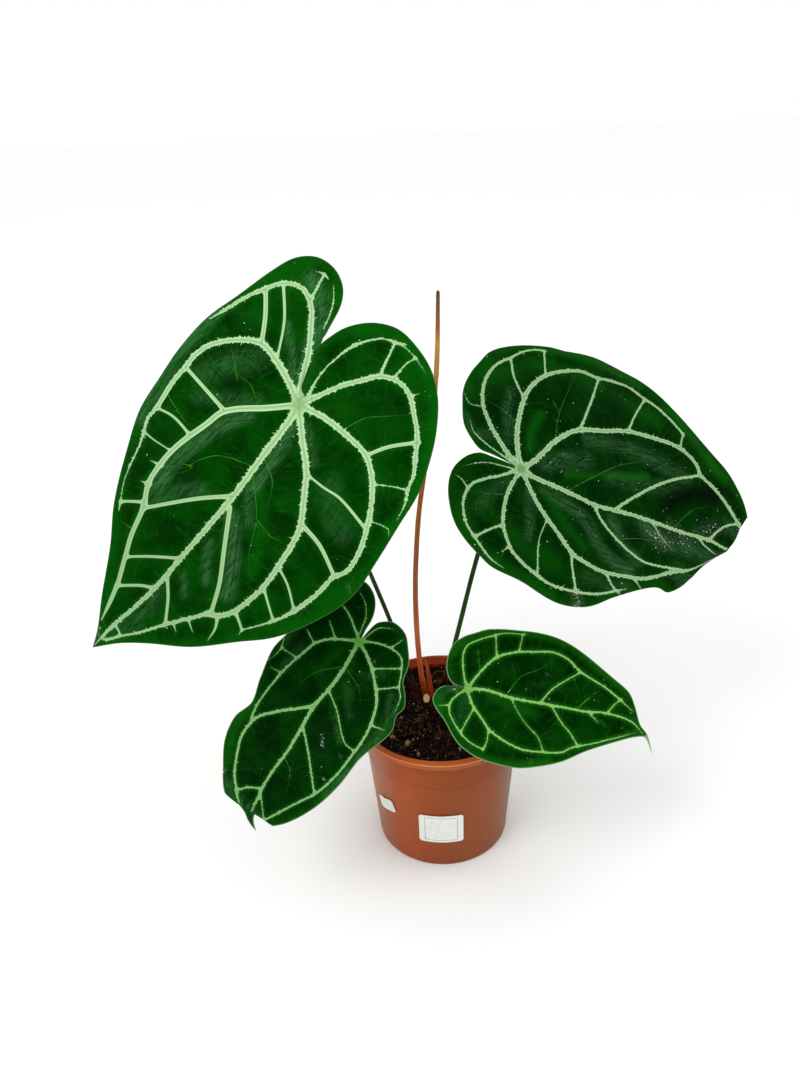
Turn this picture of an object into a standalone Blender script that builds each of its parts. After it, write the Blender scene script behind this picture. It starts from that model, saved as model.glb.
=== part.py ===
"""Potted crystal anthurium: four waved leaves and a spent flower stalk in a plastic nursery pot."""

import math
import random

import bmesh
import bpy
import numpy as np
from mathutils import Matrix, Vector
from mathutils.geometry import delaunay_2d_cdt

# Sizes below are in millimetres and degrees, and the meshes in metres
MM = 0.001
GAP = 0.35

# Pot
POT_HEIGHT = 105.0
LIP_RADIUS = 60.4
LIP_INNER_RADIUS = 57.7
LIP_HEIGHT = 6.8
LIP_ROUND = 0.8
LIP_FLARE = 4.5
WALL_RADIUS_AT_LIP = 55.7
WALL_TAPER = 0.082
WALL = 1.3
STEP_BELOW_LIP_TOP = 28.8
STEP_DEPTH = 0.7
STEP_SLOPE = 1.5
FLOOR = 2.0
FLOOR_CORNER = 2.0
FOOT_BEVEL = 0.8
DRAIN_HOLES = 6
DRAIN_RADIUS = 4.5
DRAIN_CIRCLE = 33.0
POT_SIDES = 36

# Soil and what is mixed into it
SOIL_TOP = 97.0
SOIL_CLEARANCE = 0.5
SOIL_FOOT = 4.4
SOIL_ROUGHNESS = 1.3
SOIL_WAVES = (7.3, 6.1, 3.9)
SOIL_RING_STEP = 7.0
SOIL_CHIPS = 26
CHIP_LENGTH = (4.0, 9.0)
CHIP_WIDTH = (3.0, 5.0)
CHIP_DEPTH = (3.5, 5.0)
CHIP_TILT = 0.4
CHIP_SINK = 0.4
CHIP_SPACING = 10.5
CHIP_REACH = 47.0
CHIP_SEED = 11

# Stem bases in the soil: centre, radius and top height
CROWNS = {
    "crown_main": dict(centre=(-11.5, 12.5), radius=11.0, top=100.5),
    "crown_second": dict(centre=(4.5, 31.0), radius=8.0, top=99.8),
}
CROWN_DEPTH = 9.0
CROWN_SIDES = 20
CROWN_ROUGHNESS = 0.5
SOCKET_LENGTH = 16.0

# Leaf blades
BLADE = 0.9
VEIN_GROOVE = 0.6
VEIN_RIB = 1.0
VEIN_HALF_WIDTH = 2.4
EDGE_STEP = 7.0
VEIN_STEP = 10.0
GRID_STEP = 13.0
GRID_CLEARANCE = 5.0
WAVE_REACH = 2.0

# Blank labels on the pot wall: angle from the front, height of the middle, width, height and tilt
LABEL = 0.4
LABEL_COLUMNS = 6
LABELS = {
    "label_front": dict(angle=-4, height=37, width=30.5, tall=26, tilt=0),
    "label_small": dict(angle=-53, height=44.4, width=16.4, tall=10, tilt=17),
}

# Each blade lies in its own frame: x runs from the stalk to the tip, y across, z out of the upper face.
# left and right are its two margins, from the notch at the stalk to the tip.
LEAVES = {
    "leaf_1": dict(
        joint=(-80, 11, 327), heading=-146, pitch=37, roll=-40,
        fold=0.12, arch=1.6, droop=0.35, lobe_droop=0.9, half_width=95,
        wave=2.5, wave_length=95, wave_start=(100, 20), curl=None,
        left=[(-3, -1), (-20, -6.5), (-36, -12), (-50, -11), (-61, -6), (-70, 3), (-75, 16), (-73, 32),
              (-67, 48), (-57, 61), (-46, 70), (-29, 80), (-3, 90), (20, 93), (46, 96), (66, 98), (82, 95),
              (103, 86), (118, 76), (131, 63), (151, 43), (166, 21), (177, 7), (189, -4)],
        right=[(-3, -1), (-20, -7.8), (-37, -14), (-50, -17), (-65, -21), (-75, -28), (-81, -40), (-80, -53),
               (-71, -63), (-55, -69), (-31, -75), (-9, -80), (15, -80), (38, -78), (62, -75), (86, -64),
               (116, -48), (136, -34), (162, -19), (178, -9), (189, -4)],
        veins=[[(0, 0), (34, 3), (70, 5), (118, 4), (159, 0), (182, -4)],
               [(0, 0), (29, 30), (56, 48), (81, 53), (118, 50), (137, 32), (164, 13), (178, 2)],
               [(0, 0), (-3, 33), (5, 60), (28, 76), (53, 83), (82, 80), (109, 72), (125, 59)],
               [(0, 0), (-28, 15), (-42, 27), (-46, 39), (-41, 53), (-16, 77), (11, 88)],
               [(0, 0), (-24, 0), (-43, -1), (-63, 12)],
               [(0, 0), (-28, -16), (-45, -28), (-58, -45), (-54, -57), (-33, -70), (-8, -78)],
               [(0, 0), (-12, -27), (-15, -42), (3, -65), (25, -69), (54, -68), (88, -57)],
               [(0, 0), (31, -32), (64, -41), (93, -40), (123, -28), (151, -16), (173, -10)],
               [(31, -32), (28, -50), (25, -68)],
               [(68, 4), (82, -11), (107, -33)],
               [(74, 8), (93, 20), (128, 38)],
               [(55, 48), (58, 64), (66, 79)]],
    ),
    "leaf_2": dict(
        joint=(56, 20, 274), heading=-2, pitch=22, roll=43,
        fold=0.14, arch=2.2, droop=0.5, lobe_droop=0.9, half_width=82,
        wave=2.5, wave_length=80, wave_start=(0, 160),
        curl=dict(angle=-36, start=118, radius=14, turn=110, bulge=7.5, bulge_place=91, bulge_width=17),
        left=[(-3, 0.4), (-20, 3), (-29, 4), (-36, 9), (-43, 17), (-47, 29), (-49, 41), (-47, 53), (-43, 63),
              (-37, 75), (-26, 85), (-13, 92), (1, 95), (14, 95), (40, 101), (56, 102), (72, 98), (99, 80),
              (131, 61), (153, 41), (166, 25), (176, 9), (183, -6)],
        right=[(-3, 0.4), (-20, 1.6), (-29, 1.5), (-37, -4), (-43, -15), (-43, -28), (-38, -42), (-32, -51),
               (-23, -59), (-13, -65), (-4, -69), (17, -71), (43, -77), (61, -74), (78, -62), (97, -50),
               (116, -46), (136, -40), (154, -30), (170, -18), (183, -6)],
        veins=[[(0, 0), (25, -4), (55, -7), (85, -4), (117, -3), (140, -1), (172, -5)],
               [(0, 0), (18, 26), (48, 45), (87, 54), (114, 51), (124, 41), (149, 27), (170, 8)],
               [(0, 0), (-9, 27), (-9, 45), (2, 70), (26, 83), (51, 88), (76, 83), (107, 65)],
               [(0, 0), (-24, 19), (-36, 40), (-36, 54), (-23, 76), (-7, 90)],
               [(0, 0), (16, -21), (44, -44), (67, -49), (97, -43), (130, -26), (160, -16)],
               [(0, 0), (-5, -16), (-4, -41), (7, -56), (35, -67), (66, -64), (85, -54)],
               [(0, 0), (-22, -15), (-32, -30), (-27, -47), (-7, -64), (3, -67)],
               [(68, -4), (89, 18), (124, 41)],
               [(52, -7), (70, -24), (95, -33), (120, -29)]],
    ),
    "leaf_3": dict(
        joint=(-52, -24, 178), heading=-130, pitch=37, roll=-21,
        fold=0.12, arch=2.5, droop=0.4, lobe_droop=1.0, half_width=47,
        wave=2.0, wave_length=60, wave_start=(90, 0),
        curl=dict(angle=-4, start=124, radius=7, turn=55, bulge=0, bulge_place=0, bulge_width=1),
        left=[(-2, 0.6), (-8, 1.8), (-15, 4), (-18, 7), (-21, 14), (-18, 24), (-11, 30), (-1, 36), (10, 38),
              (17, 43), (24, 46), (31, 44), (39, 46), (48, 44), (64, 37), (84, 33), (103, 26), (119, 15),
              (127, 4), (128, -3), (131, -6), (137, -7), (144, -6.5), (150, -5.2)],
        right=[(-2, 0.6), (-8, 0.2), (-16, 0.4), (-24, -1.5), (-31, -6), (-36, -14), (-36, -25), (-29, -35),
               (-16, -41), (0, -42), (14, -43), (31, -48), (50, -46), (66, -42), (79, -47), (95, -46),
               (110, -38), (121, -30), (127, -21), (131, -16.5), (135, -13.5), (141, -11.5), (146, -8.8),
               (150, -5.2)],
        veins=[[(0, 0), (21, 0), (49, -5), (80, -6), (102, -9), (128, -8)],
               [(0, 0), (7, -16), (23, -28), (42, -35), (63, -38), (75, -37)],
               [(49, -5), (64, -25), (78, -36), (99, -34), (116, -24), (127, -13)],
               [(0, 0), (9, 13), (29, 29), (52, 33), (84, 27), (104, 16), (125, 1)],
               [(0, 0), (-4, 11), (-3, 29), (14, 37), (30, 42)],
               [(0, 0), (-12, -14), (-17, -24)],
               [(37, -1), (46, 10), (62, 30)],
               [(65, -5), (85, 13), (95, 21)]],
    ),
    "leaf_4": dict(
        joint=(15, -50, 156), heading=-11, pitch=16, roll=37,
        fold=0.12, arch=2.5, droop=0.4, lobe_droop=1.0, half_width=45,
        wave=1.5, wave_length=60, wave_start=(90, 0), curl=None,
        left=[(-2, 0.3), (-9, 0.6), (-14, 5), (-17, 14), (-16, 25), (-11, 32), (-4, 37), (4, 42), (26, 49),
              (38, 51), (51, 50), (71, 44), (92, 35), (101, 30), (106, 23), (112, 12), (118, 7), (123, -3)],
        right=[(-2, 0.3), (-9, -0.8), (-14, -2), (-18, -6), (-19, -13), (-14, -19), (-9, -23), (2, -34),
               (10, -38), (19, -40), (38, -39), (49, -36), (67, -27), (82, -15), (103, -1), (112, 4),
               (117, 5), (123, -3)],
        veins=[[(0, 0), (28, 3), (60, 7), (88, 12), (106, 12), (116, 6)],
               [(0, 0), (9, 20), (25, 33), (48, 40), (67, 33), (86, 28), (105, 19)],
               [(0, 0), (-8, 20), (-7, 27), (8, 39), (28, 47)],
               [(0, 0), (6, -9), (20, -21), (46, -26), (66, -21), (85, -9), (110, 6)],
               [(0, 0), (-6, -7), (-6, -19), (3, -28), (19, -34)],
               [(47, 6), (59, 24), (67, 32)],
               [(54, 6), (69, -7), (76, -14)]],
    ),
}

# Leaf stalks: the way from the socket in the crown to the back of the blade
LEAF_STALKS = {
    "leaf_1": dict(route=[(-16.5, 14.5, 95.4), (-17.2, 15.4, 105), (-20, 19, 125), (-31, 28, 157), (-44.5, 38, 191),
                          (-58, 43, 231), (-69, 42, 270), (-77, 35, 302)], radius=(2.3, 1.6)),
    "leaf_2": dict(route=[(2, 33.5, 95.4), (2.8, 34, 103), (6, 36, 112), (12, 39, 131), (31, 44, 199),
                          (42, 45, 236)], radius=(2.2, 1.5)),
    "leaf_3": dict(route=[(-17, 8.5, 95.4), (-17.6, 8, 105), (-20, 6, 125), (-30, 3, 146)], radius=(2.1, 1.4)),
    "leaf_4": dict(route=[(7.5, 28.5, 95.4), (7.9, 25.5, 103), (9, 10, 118), (10.5, -20, 131)], radius=(2.1, 1.4)),
}
KNUCKLE_LENGTH = 12.0
KNUCKLE_SWELLING = 0.45
STALK_STEP = 9.0
STALK_SIDES = 8

# Flower stalk, then the spent spadix that ends it
FLOWER_ROUTE = [(-10.5, 19.5, 95.4), (-11, 19.9, 104), (-12.4, 22, 119), (-14, 27, 148), (-13.9, 34, 180),
                (-11.8, 42, 210), (-9, 50, 233), (-3.4, 60, 262), (3.5, 71, 300), (5.6, 75, 318)]
FLOWER_RADIUS = (2.0, 1.5)
SPADIX_ROUTE = [(5.6, 75, 318), (7, 78.5, 338), (8.4, 85, 372)]
SPADIX_RADIUS = (1.8, 1.15)
SPADIX_SIDES = 10
SPADIX_ROW = 2.2
SPADIX_SCALE_RELIEF = 0.14
SPADIX_TIP_START = 0.95

# Small pieces at the main crown
STUB_BASE = (-9.3, 9.6, 97.4)
STUB_TOP = (-9.3, 8.4, 104.5)
STUB_RADIUS = 2.4
STUB_SLANT = 0.8
SHEATH_ROUTE = [(-5.4, 14.6, 97.0), (-5.6, 14.8, 106), (-7.2, 15.2, 120), (-9.2, 15.2, 133.0)]
SHEATH_RADIUS = (2.2, 0.5)


def clear_scene():
    for item in list(bpy.data.objects):
        bpy.data.objects.remove(item, do_unlink=True)


def material(name, colour, roughness):
    made = bpy.data.materials.new(name)
    made.use_nodes = True
    shader = made.node_tree.nodes["Principled BSDF"]
    shader.inputs["Base Color"].default_value = (*colour, 1)
    shader.inputs["Roughness"].default_value = roughness
    shader.inputs["Metallic"].default_value = 0
    return made


def add_object(name, data, finish):
    data.materials.append(finish)
    made = bpy.data.objects.new(name, data)
    bpy.context.scene.collection.objects.link(made)
    return made


def mesh_object(name, bm, finish, smooth=True):
    bmesh.ops.recalc_face_normals(bm, faces=bm.faces)
    mesh = bpy.data.meshes.new(name)
    bm.to_mesh(mesh)
    bm.free()
    if smooth:
        mesh.shade_smooth()
        mesh.set_sharp_from_angle(angle=math.radians(40))
    return add_object(name, mesh, finish)


def smooth_way(points, step):
    """Points every step along a smooth curve through the given ones, as an array."""
    given = np.array(points, float)
    ends = np.vstack([2 * given[0] - given[1], given, 2 * given[-1] - given[-2]])
    fine = []
    for before, start, end, after in zip(ends, ends[1:], ends[2:], ends[3:]):
        span = np.linalg.norm(end - start)
        slope_in = (end - before) * span / (np.linalg.norm(start - before) + span)
        slope_out = (after - start) * span / (span + np.linalg.norm(after - end))
        t = np.linspace(0, 1, 12, endpoint=False)[:, None]
        fine.append((2 * t**3 - 3 * t**2 + 1) * start + (t**3 - 2 * t**2 + t) * slope_in
                    + (3 * t**2 - 2 * t**3) * end + (t**3 - t**2) * slope_out)
    fine = np.vstack([*fine, given[-1:]])
    along = np.concatenate([[0], np.cumsum(np.linalg.norm(np.diff(fine, axis=0), axis=1))])
    stops = np.linspace(0, along[-1], max(2, round(along[-1] / step) + 1))
    return np.stack([np.interp(stops, along, column) for column in fine.T], axis=1)


def apply_modifiers(target):
    graph = bpy.context.evaluated_depsgraph_get()
    applied = bpy.data.meshes.new_from_object(target.evaluated_get(graph))
    target.modifiers.clear()
    target.data = applied


def boolean(target, others, operation):
    """Joins or cuts the target with each of the others, which are then removed."""
    for other in others:
        modifier = target.modifiers.new(operation.title(), "BOOLEAN")
        modifier.operation = operation
        modifier.object = other
    apply_modifiers(target)
    for other in others:
        bpy.data.objects.remove(other, do_unlink=True)


def turned(name, profile, sides, finish):
    """A solid of revolution about Z, from a profile of (radius, height) that runs down its outside."""
    mesh = bpy.data.meshes.new(name)
    points = [(radius * MM, 0, height * MM) for radius, height in profile]
    mesh.from_pydata(points, [(i, i + 1) for i in range(len(points) - 1)], [])
    made = add_object(name, mesh, finish)
    screw = made.modifiers.new("Turn", "SCREW")
    screw.steps = sides
    screw.render_steps = sides
    screw.use_merge_vertices = True
    screw.merge_threshold = 0.00001
    apply_modifiers(made)
    made.data.shade_smooth()
    made.data.set_sharp_from_angle(angle=math.radians(40))
    return made


def rod(name, start, end, radius, finish, sides=12):
    """A round rod between two points."""
    start, end = Vector(start) * MM, Vector(end) * MM
    along = end - start
    bm = bmesh.new()
    bmesh.ops.create_cone(bm, cap_ends=True, segments=sides, radius1=radius * MM, radius2=radius * MM,
                          depth=along.length)
    place = Matrix.Translation((start + end) / 2) @ along.to_track_quat("Z", "Y").to_matrix().to_4x4()
    bmesh.ops.transform(bm, matrix=place, verts=bm.verts)
    return mesh_object(name, bm, finish)


def tube(name, way, radii, finish):
    """A round stalk along a way of points, with a radius at each."""
    curve = bpy.data.curves.new(name, "CURVE")
    curve.dimensions = "3D"
    curve.bevel_depth = MM
    curve.bevel_resolution = (STALK_SIDES - 4) // 2
    curve.use_fill_caps = True
    line = curve.splines.new("POLY")
    line.points.add(len(way) - 1)
    for point, place, radius in zip(line.points, way, radii):
        point.co = (*(place * MM), 1)
        point.radius = radius
    return add_object(name, curve, finish)


# Pot

def wall_radius(height):
    """Outer radius of the pot wall, which steps in below the shoulder line."""
    radius = WALL_RADIUS_AT_LIP - WALL_TAPER * (POT_HEIGHT - height)
    return radius - (STEP_DEPTH if height < POT_HEIGHT - STEP_BELOW_LIP_TOP else 0)


def make_pot(finish):
    step_z = POT_HEIGHT - STEP_BELOW_LIP_TOP
    lip_foot = POT_HEIGHT - LIP_HEIGHT
    lip_middle = (LIP_RADIUS + LIP_INNER_RADIUS) / 2
    flare_foot = POT_HEIGHT - LIP_FLARE
    profile = [
        (0, FLOOR),
        (wall_radius(FLOOR) - WALL - FLOOR_CORNER, FLOOR),
        (wall_radius(FLOOR + FLOOR_CORNER) - WALL, FLOOR + FLOOR_CORNER),
        (wall_radius(step_z - STEP_SLOPE) - WALL, step_z - STEP_SLOPE),
        (wall_radius(step_z + STEP_SLOPE) - WALL, step_z + STEP_SLOPE / 3),
        (wall_radius(flare_foot) - WALL, flare_foot),
        (LIP_INNER_RADIUS - LIP_ROUND / 2, POT_HEIGHT - 1.75 * LIP_ROUND),
        (LIP_INNER_RADIUS + LIP_ROUND / 4, POT_HEIGHT - LIP_ROUND / 4),
        (lip_middle, POT_HEIGHT),
        (LIP_RADIUS - LIP_ROUND / 3, POT_HEIGHT - LIP_ROUND),
        (LIP_RADIUS, POT_HEIGHT - 2.75 * LIP_ROUND),
        (LIP_RADIUS - LIP_ROUND / 4, lip_foot + LIP_ROUND / 2),
        (LIP_RADIUS - 1.25 * LIP_ROUND, lip_foot),
        (wall_radius(lip_foot) + LIP_ROUND / 2, lip_foot),
        (wall_radius(lip_foot), lip_foot - LIP_ROUND),
        (wall_radius(step_z), step_z),
        (wall_radius(step_z - STEP_DEPTH), step_z - STEP_DEPTH),
        (wall_radius(FOOT_BEVEL), FOOT_BEVEL),
        (wall_radius(0) - FOOT_BEVEL, 0),
        (0, 0),
    ]
    pot = turned("pot", profile, POT_SIDES, finish)
    holes = []
    for number in range(DRAIN_HOLES):
        angle = math.tau * (number + 0.5) / DRAIN_HOLES
        x, y = DRAIN_CIRCLE * math.cos(angle), DRAIN_CIRCLE * math.sin(angle)
        holes.append(rod(f"drain_cut_{number}", (x, y, -1), (x, y, FLOOR + 1), DRAIN_RADIUS, finish))
    boolean(pot, holes, "DIFFERENCE")
    return pot


# Soil

def soil_bump(x, y):
    """Height of the uneven soil above its mean level: broad mounds with a small slanting ripple."""
    across, along, ripple = SOIL_WAVES
    return SOIL_ROUGHNESS * (math.sin(x / across + 1) * math.cos(y / along) + 0.5 * math.sin((x - 1.4 * y) / ripple))


def chip_places(rng):
    """Seeded spots on the soil, clear of each other and of the crowns."""
    taken = [(*crown["centre"], crown["radius"]) for crown in CROWNS.values()]
    places = []
    while len(places) < SOIL_CHIPS:
        angle = rng.uniform(0, math.tau)
        distance = CHIP_REACH * math.sqrt(rng.random())
        x, y = distance * math.cos(angle), distance * math.sin(angle)
        if all(math.dist((x, y), spot[:2]) > CHIP_SPACING + spot[2] / 2 for spot in taken):
            taken.append((x, y, 0))
            places.append((x, y))
    return places


def make_chip(name, x, y, rng, finish):
    """One chip of bark: a stretched block with shifted corners, half sunk in the soil."""
    size = [rng.uniform(*span) for span in (CHIP_LENGTH, CHIP_WIDTH, CHIP_DEPTH)]
    bm = bmesh.new()
    bmesh.ops.create_cube(bm, size=1)
    for vert in bm.verts:
        vert.co = Vector([c * s * rng.uniform(0.75, 1.1) * MM for c, s in zip(vert.co, size)])
    turn = Matrix.Rotation(rng.uniform(0, math.tau), 4, "Z")
    turn @= Matrix.Rotation(rng.uniform(-CHIP_TILT, CHIP_TILT), 4, "X")
    height = SOIL_TOP + soil_bump(x, y) - CHIP_SINK
    bmesh.ops.transform(bm, matrix=Matrix.Translation(Vector((x, y, height)) * MM) @ turn, verts=bm.verts)
    return mesh_object(name, bm, finish, smooth=False)


def make_soil(finish):
    step_z = POT_HEIGHT - STEP_BELOW_LIP_TOP
    levels = (SOIL_TOP, step_z + STEP_SLOPE, step_z - STEP_SLOPE - SOIL_CLEARANCE, SOIL_FOOT + FLOOR_CORNER / 2)
    edge = [(wall_radius(z) - WALL - SOIL_CLEARANCE, z) for z in levels]
    rings = [(number * SOIL_RING_STEP, SOIL_TOP) for number in range(round(edge[0][0] / SOIL_RING_STEP))]
    foot = [(edge[-1][0] - FLOOR_CORNER, SOIL_FOOT), (0, SOIL_FOOT)]
    soil = turned("soil", [*rings, *edge, *foot], POT_SIDES, finish)
    for vert in soil.data.vertices:
        if vert.co.z > (SOIL_TOP - 0.5) * MM:
            vert.co.z += soil_bump(vert.co.x / MM, vert.co.y / MM) * MM
    rng = random.Random(CHIP_SEED)
    chips = [make_chip(f"chip_{number}", x, y, rng, finish) for number, (x, y) in enumerate(chip_places(rng))]
    boolean(soil, chips, "UNION")
    holes = []
    for name, crown in CROWNS.items():
        x, y = crown["centre"]
        foot = crown["top"] - CROWN_DEPTH - GAP
        above = crown["top"] + CROWN_DEPTH
        holes.append(rod(f"{name}_hole", (x, y, foot), (x, y, above), crown["radius"] + GAP, finish, CROWN_SIDES))
    boolean(soil, holes, "DIFFERENCE")
    return soil


# Crowns, with a plain socket for each stalk that stands in them

def socket(name, start, toward, radius, finish):
    start, toward = Vector(start), Vector(toward)
    along = (toward - start).normalized()
    return rod(f"{name}_socket", start - along * GAP, start + along * SOCKET_LENGTH, radius + GAP, finish)


def make_crown(name, stalks, finish):
    """A low rough mound of old stem, domed at its edge."""
    crown = CROWNS[name]
    radius, top = crown["radius"], crown["top"]
    profile = [(0, top), (0.45 * radius, top - 0.3), (0.8 * radius, top - 1.3), (radius, top - 3.2),
               (radius, top - CROWN_DEPTH), (0, top - CROWN_DEPTH)]
    made = turned(name, profile, CROWN_SIDES, finish)
    for vert in made.data.vertices:
        x, y, z = vert.co / MM
        if z > top - 2:
            z += CROWN_ROUGHNESS * math.sin(0.9 * x + 1) * math.cos(0.7 * y)
        vert.co = Vector((x + crown["centre"][0], y + crown["centre"][1], z)) * MM
    sockets = [socket(key, start, toward, stalk_radius, finish) for key, start, toward, stalk_radius in stalks]
    boolean(made, sockets, "DIFFERENCE")
    return made


# Leaf blades

def nearest(points, line):
    """Distance from each point to a line of points."""
    best = np.full(len(points), 1e9)
    for start, end in zip(line, line[1:]):
        along = end - start
        t = np.clip(((points - start) @ along) / (along @ along), 0, 1)
        best = np.minimum(best, np.linalg.norm(points - start - t[:, None] * along, axis=1))
    return best


def vein_lines(leaf):
    """Each vein's smooth centre line, with its half width, narrower toward the tip and on the branches."""
    lines = []
    for number, vein in enumerate(leaf["veins"]):
        start_at_joint = vein[0] == (0, 0)
        half = VEIN_HALF_WIDTH * (0.6 + 0.4 * leaf["half_width"] / 95) * (1 if start_at_joint else 0.7)
        lines.append((smooth_way(vein, VEIN_STEP), half))
    return lines


def vein_relief(points, lines):
    """1 on a vein's centre line, falling to 0 at its sides."""
    relief = np.zeros(len(points))
    for line, half in lines:
        relief = np.maximum(relief, 1 - nearest(points, line) / half)
    return relief


def bowed(leaf, points):
    """Height of the blade's upper face: folded at the midrib, arched over, drooping and waved."""
    x, y = points.T
    height = leaf["fold"] * (np.sqrt(y**2 + 36) - 6) - leaf["arch"] * y**2 / 1000
    height -= leaf["droop"] * np.maximum(x, 0)**2 / 1000 + leaf["lobe_droop"] * np.minimum(x, 0)**2 / 1000
    start = np.radians(np.where(y > 0, *leaf["wave_start"]))
    reach = np.abs(y / leaf["half_width"])**WAVE_REACH
    return height + leaf["wave"] * reach * np.sin(math.tau * x / leaf["wave_length"] + start)


def curled(leaf, points, height):
    """The blade in space, rolled down round a bend across its tip that bulges where the midrib crosses it."""
    place = np.column_stack([points, height])
    curl = leaf["curl"]
    if curl is None:
        return place
    ahead = np.array([math.cos(math.radians(curl["angle"])), math.sin(math.radians(curl["angle"])), 0])
    across = points @ [-ahead[1], ahead[0]]
    bulge = curl["bulge"] * np.exp(-((across - curl["bulge_place"]) / curl["bulge_width"])**2)
    past = np.maximum(points @ ahead[:2] - curl["start"] - bulge, 0)
    turn = np.minimum(past / curl["radius"], math.radians(curl["turn"]))
    straight = past - turn * curl["radius"]
    forward = curl["radius"] * np.sin(turn) + straight * np.cos(turn) - past + height * np.sin(turn)
    down = curl["radius"] * (1 - np.cos(turn)) + straight * np.sin(turn) + height * (1 - np.cos(turn))
    return place + forward[:, None] * ahead - down[:, None] * np.array([0, 0, 1])


def upper_face(leaf, points):
    return curled(leaf, points, bowed(leaf, points))


def upper_normals(leaf, points):
    step = 0.5
    along = upper_face(leaf, points + [step, 0]) - upper_face(leaf, points - [step, 0])
    across = upper_face(leaf, points + [0, step]) - upper_face(leaf, points - [0, step])
    normals = np.cross(along, across)
    return normals / np.linalg.norm(normals, axis=1)[:, None]


def blade_plan(leaf, lines):
    """The flat blade cut into triangles along its margin, its veins and an even grid between them."""
    left = smooth_way(leaf["left"], EDGE_STEP)
    right = smooth_way(leaf["right"], EDGE_STEP)
    margin = np.vstack([right[:-1], left[:0:-1]])
    ring = np.vstack([margin, margin[:1]])
    inner = []
    for line, half in lines:
        forward = np.gradient(line, axis=0)
        side = np.column_stack([-forward[:, 1], forward[:, 0]]) / np.linalg.norm(forward, axis=1)[:, None]
        inner += [line, line + side * half, line - side * half]
    low, high = margin.min(axis=0), margin.max(axis=0)
    rows = np.arange(low[1], high[1], GRID_STEP * 0.866)
    grid = np.array([(x + (row % 2) * GRID_STEP / 2, y) for row, y in enumerate(rows)
                     for x in np.arange(low[0], high[0], GRID_STEP)])
    free = nearest(grid, ring) > GRID_CLEARANCE
    for line in inner:
        free &= nearest(grid, line) > GRID_CLEARANCE
    points, edges = list(margin), []
    for line in inner:
        keep = (nearest(line, ring) > 1.5) & inside(line, margin)
        for first, second in zip(np.flatnonzero(keep), np.flatnonzero(keep)[1:]):
            if second == first + 1:
                edges.append((len(points), len(points) + 1))
                points += [line[first], line[second]]
    points += list(grid[free & inside(grid, margin)])
    result = delaunay_2d_cdt([Vector(p) for p in points], edges, [list(range(len(margin)))], 1, 0.35)
    return np.array([tuple(p) for p in result[0]]), result[2]


def inside(points, ring):
    """Whether each point lies inside a closed ring."""
    crossed = np.zeros(len(points), bool)
    for (x1, y1), (x2, y2) in zip(ring, np.roll(ring, -1, axis=0)):
        spans = (y1 > points[:, 1]) != (y2 > points[:, 1])
        with np.errstate(divide="ignore", invalid="ignore"):
            crossing = (x2 - x1) * (points[:, 1] - y1) / (y2 - y1) + x1
        crossed ^= spans & (points[:, 0] < crossing)
    return crossed


def make_blade(name, finish):
    leaf = LEAVES[name]
    lines = vein_lines(leaf)
    plan, faces = blade_plan(leaf, lines)
    relief = vein_relief(plan, lines)[:, None]
    normals = upper_normals(leaf, plan)
    upper = upper_face(leaf, plan) - normals * VEIN_GROOVE * relief
    under = upper - normals * (BLADE + VEIN_RIB * relief)
    bm = bmesh.new()
    top = [bm.verts.new(place * MM) for place in upper]
    bottom = [bm.verts.new(place * MM) for place in under]
    sides = set()
    for face in faces:
        bm.faces.new([top[corner] for corner in face])
        bm.faces.new([bottom[corner] for corner in reversed(face)])
        sides |= set(zip(face, [*face[1:], face[0]]))
    for start, end in sides:
        if (end, start) not in sides:
            bm.faces.new((top[end], top[start], bottom[start], bottom[end]))
    made = mesh_object(name, bm, finish)
    made.location = Vector(leaf["joint"]) * MM
    made.rotation_euler = [math.radians(leaf[key]) for key in ("roll", "pitch", "heading")]
    return made


def stalk_end(leaf):
    """Where a stalk meets the back of its blade, and a point short of it straight behind the blade."""
    turn = Matrix.Rotation(math.radians(leaf["heading"]), 3, "Z")
    turn @= Matrix.Rotation(math.radians(leaf["pitch"]), 3, "Y")
    turn @= Matrix.Rotation(math.radians(leaf["roll"]), 3, "X")
    depth = VEIN_GROOVE + BLADE + VEIN_RIB + GAP
    joint = Vector(leaf["joint"])
    return [tuple(joint + turn @ Vector((0, 0, -depth - back))) for back in (KNUCKLE_LENGTH, 0)]


def make_leaf_stalk(name, finish):
    stalk = LEAF_STALKS[name]
    way = smooth_way([*stalk["route"], *stalk_end(LEAVES[name])], STALK_STEP)
    t = np.linspace(0, 1, len(way))
    base, top = stalk["radius"]
    swelling = KNUCKLE_SWELLING * np.exp(-((t - 1) * len(way) / 1.6)**2)
    return tube(f"{name}_stalk", way, base + (top - base) * t**0.5 + swelling, finish)


# Flower stalk and spadix

def make_flower_stalk(finish):
    way = smooth_way(FLOWER_ROUTE, STALK_STEP)
    return tube("flower_stalk", way, np.linspace(*FLOWER_RADIUS, len(way)), finish)


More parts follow.
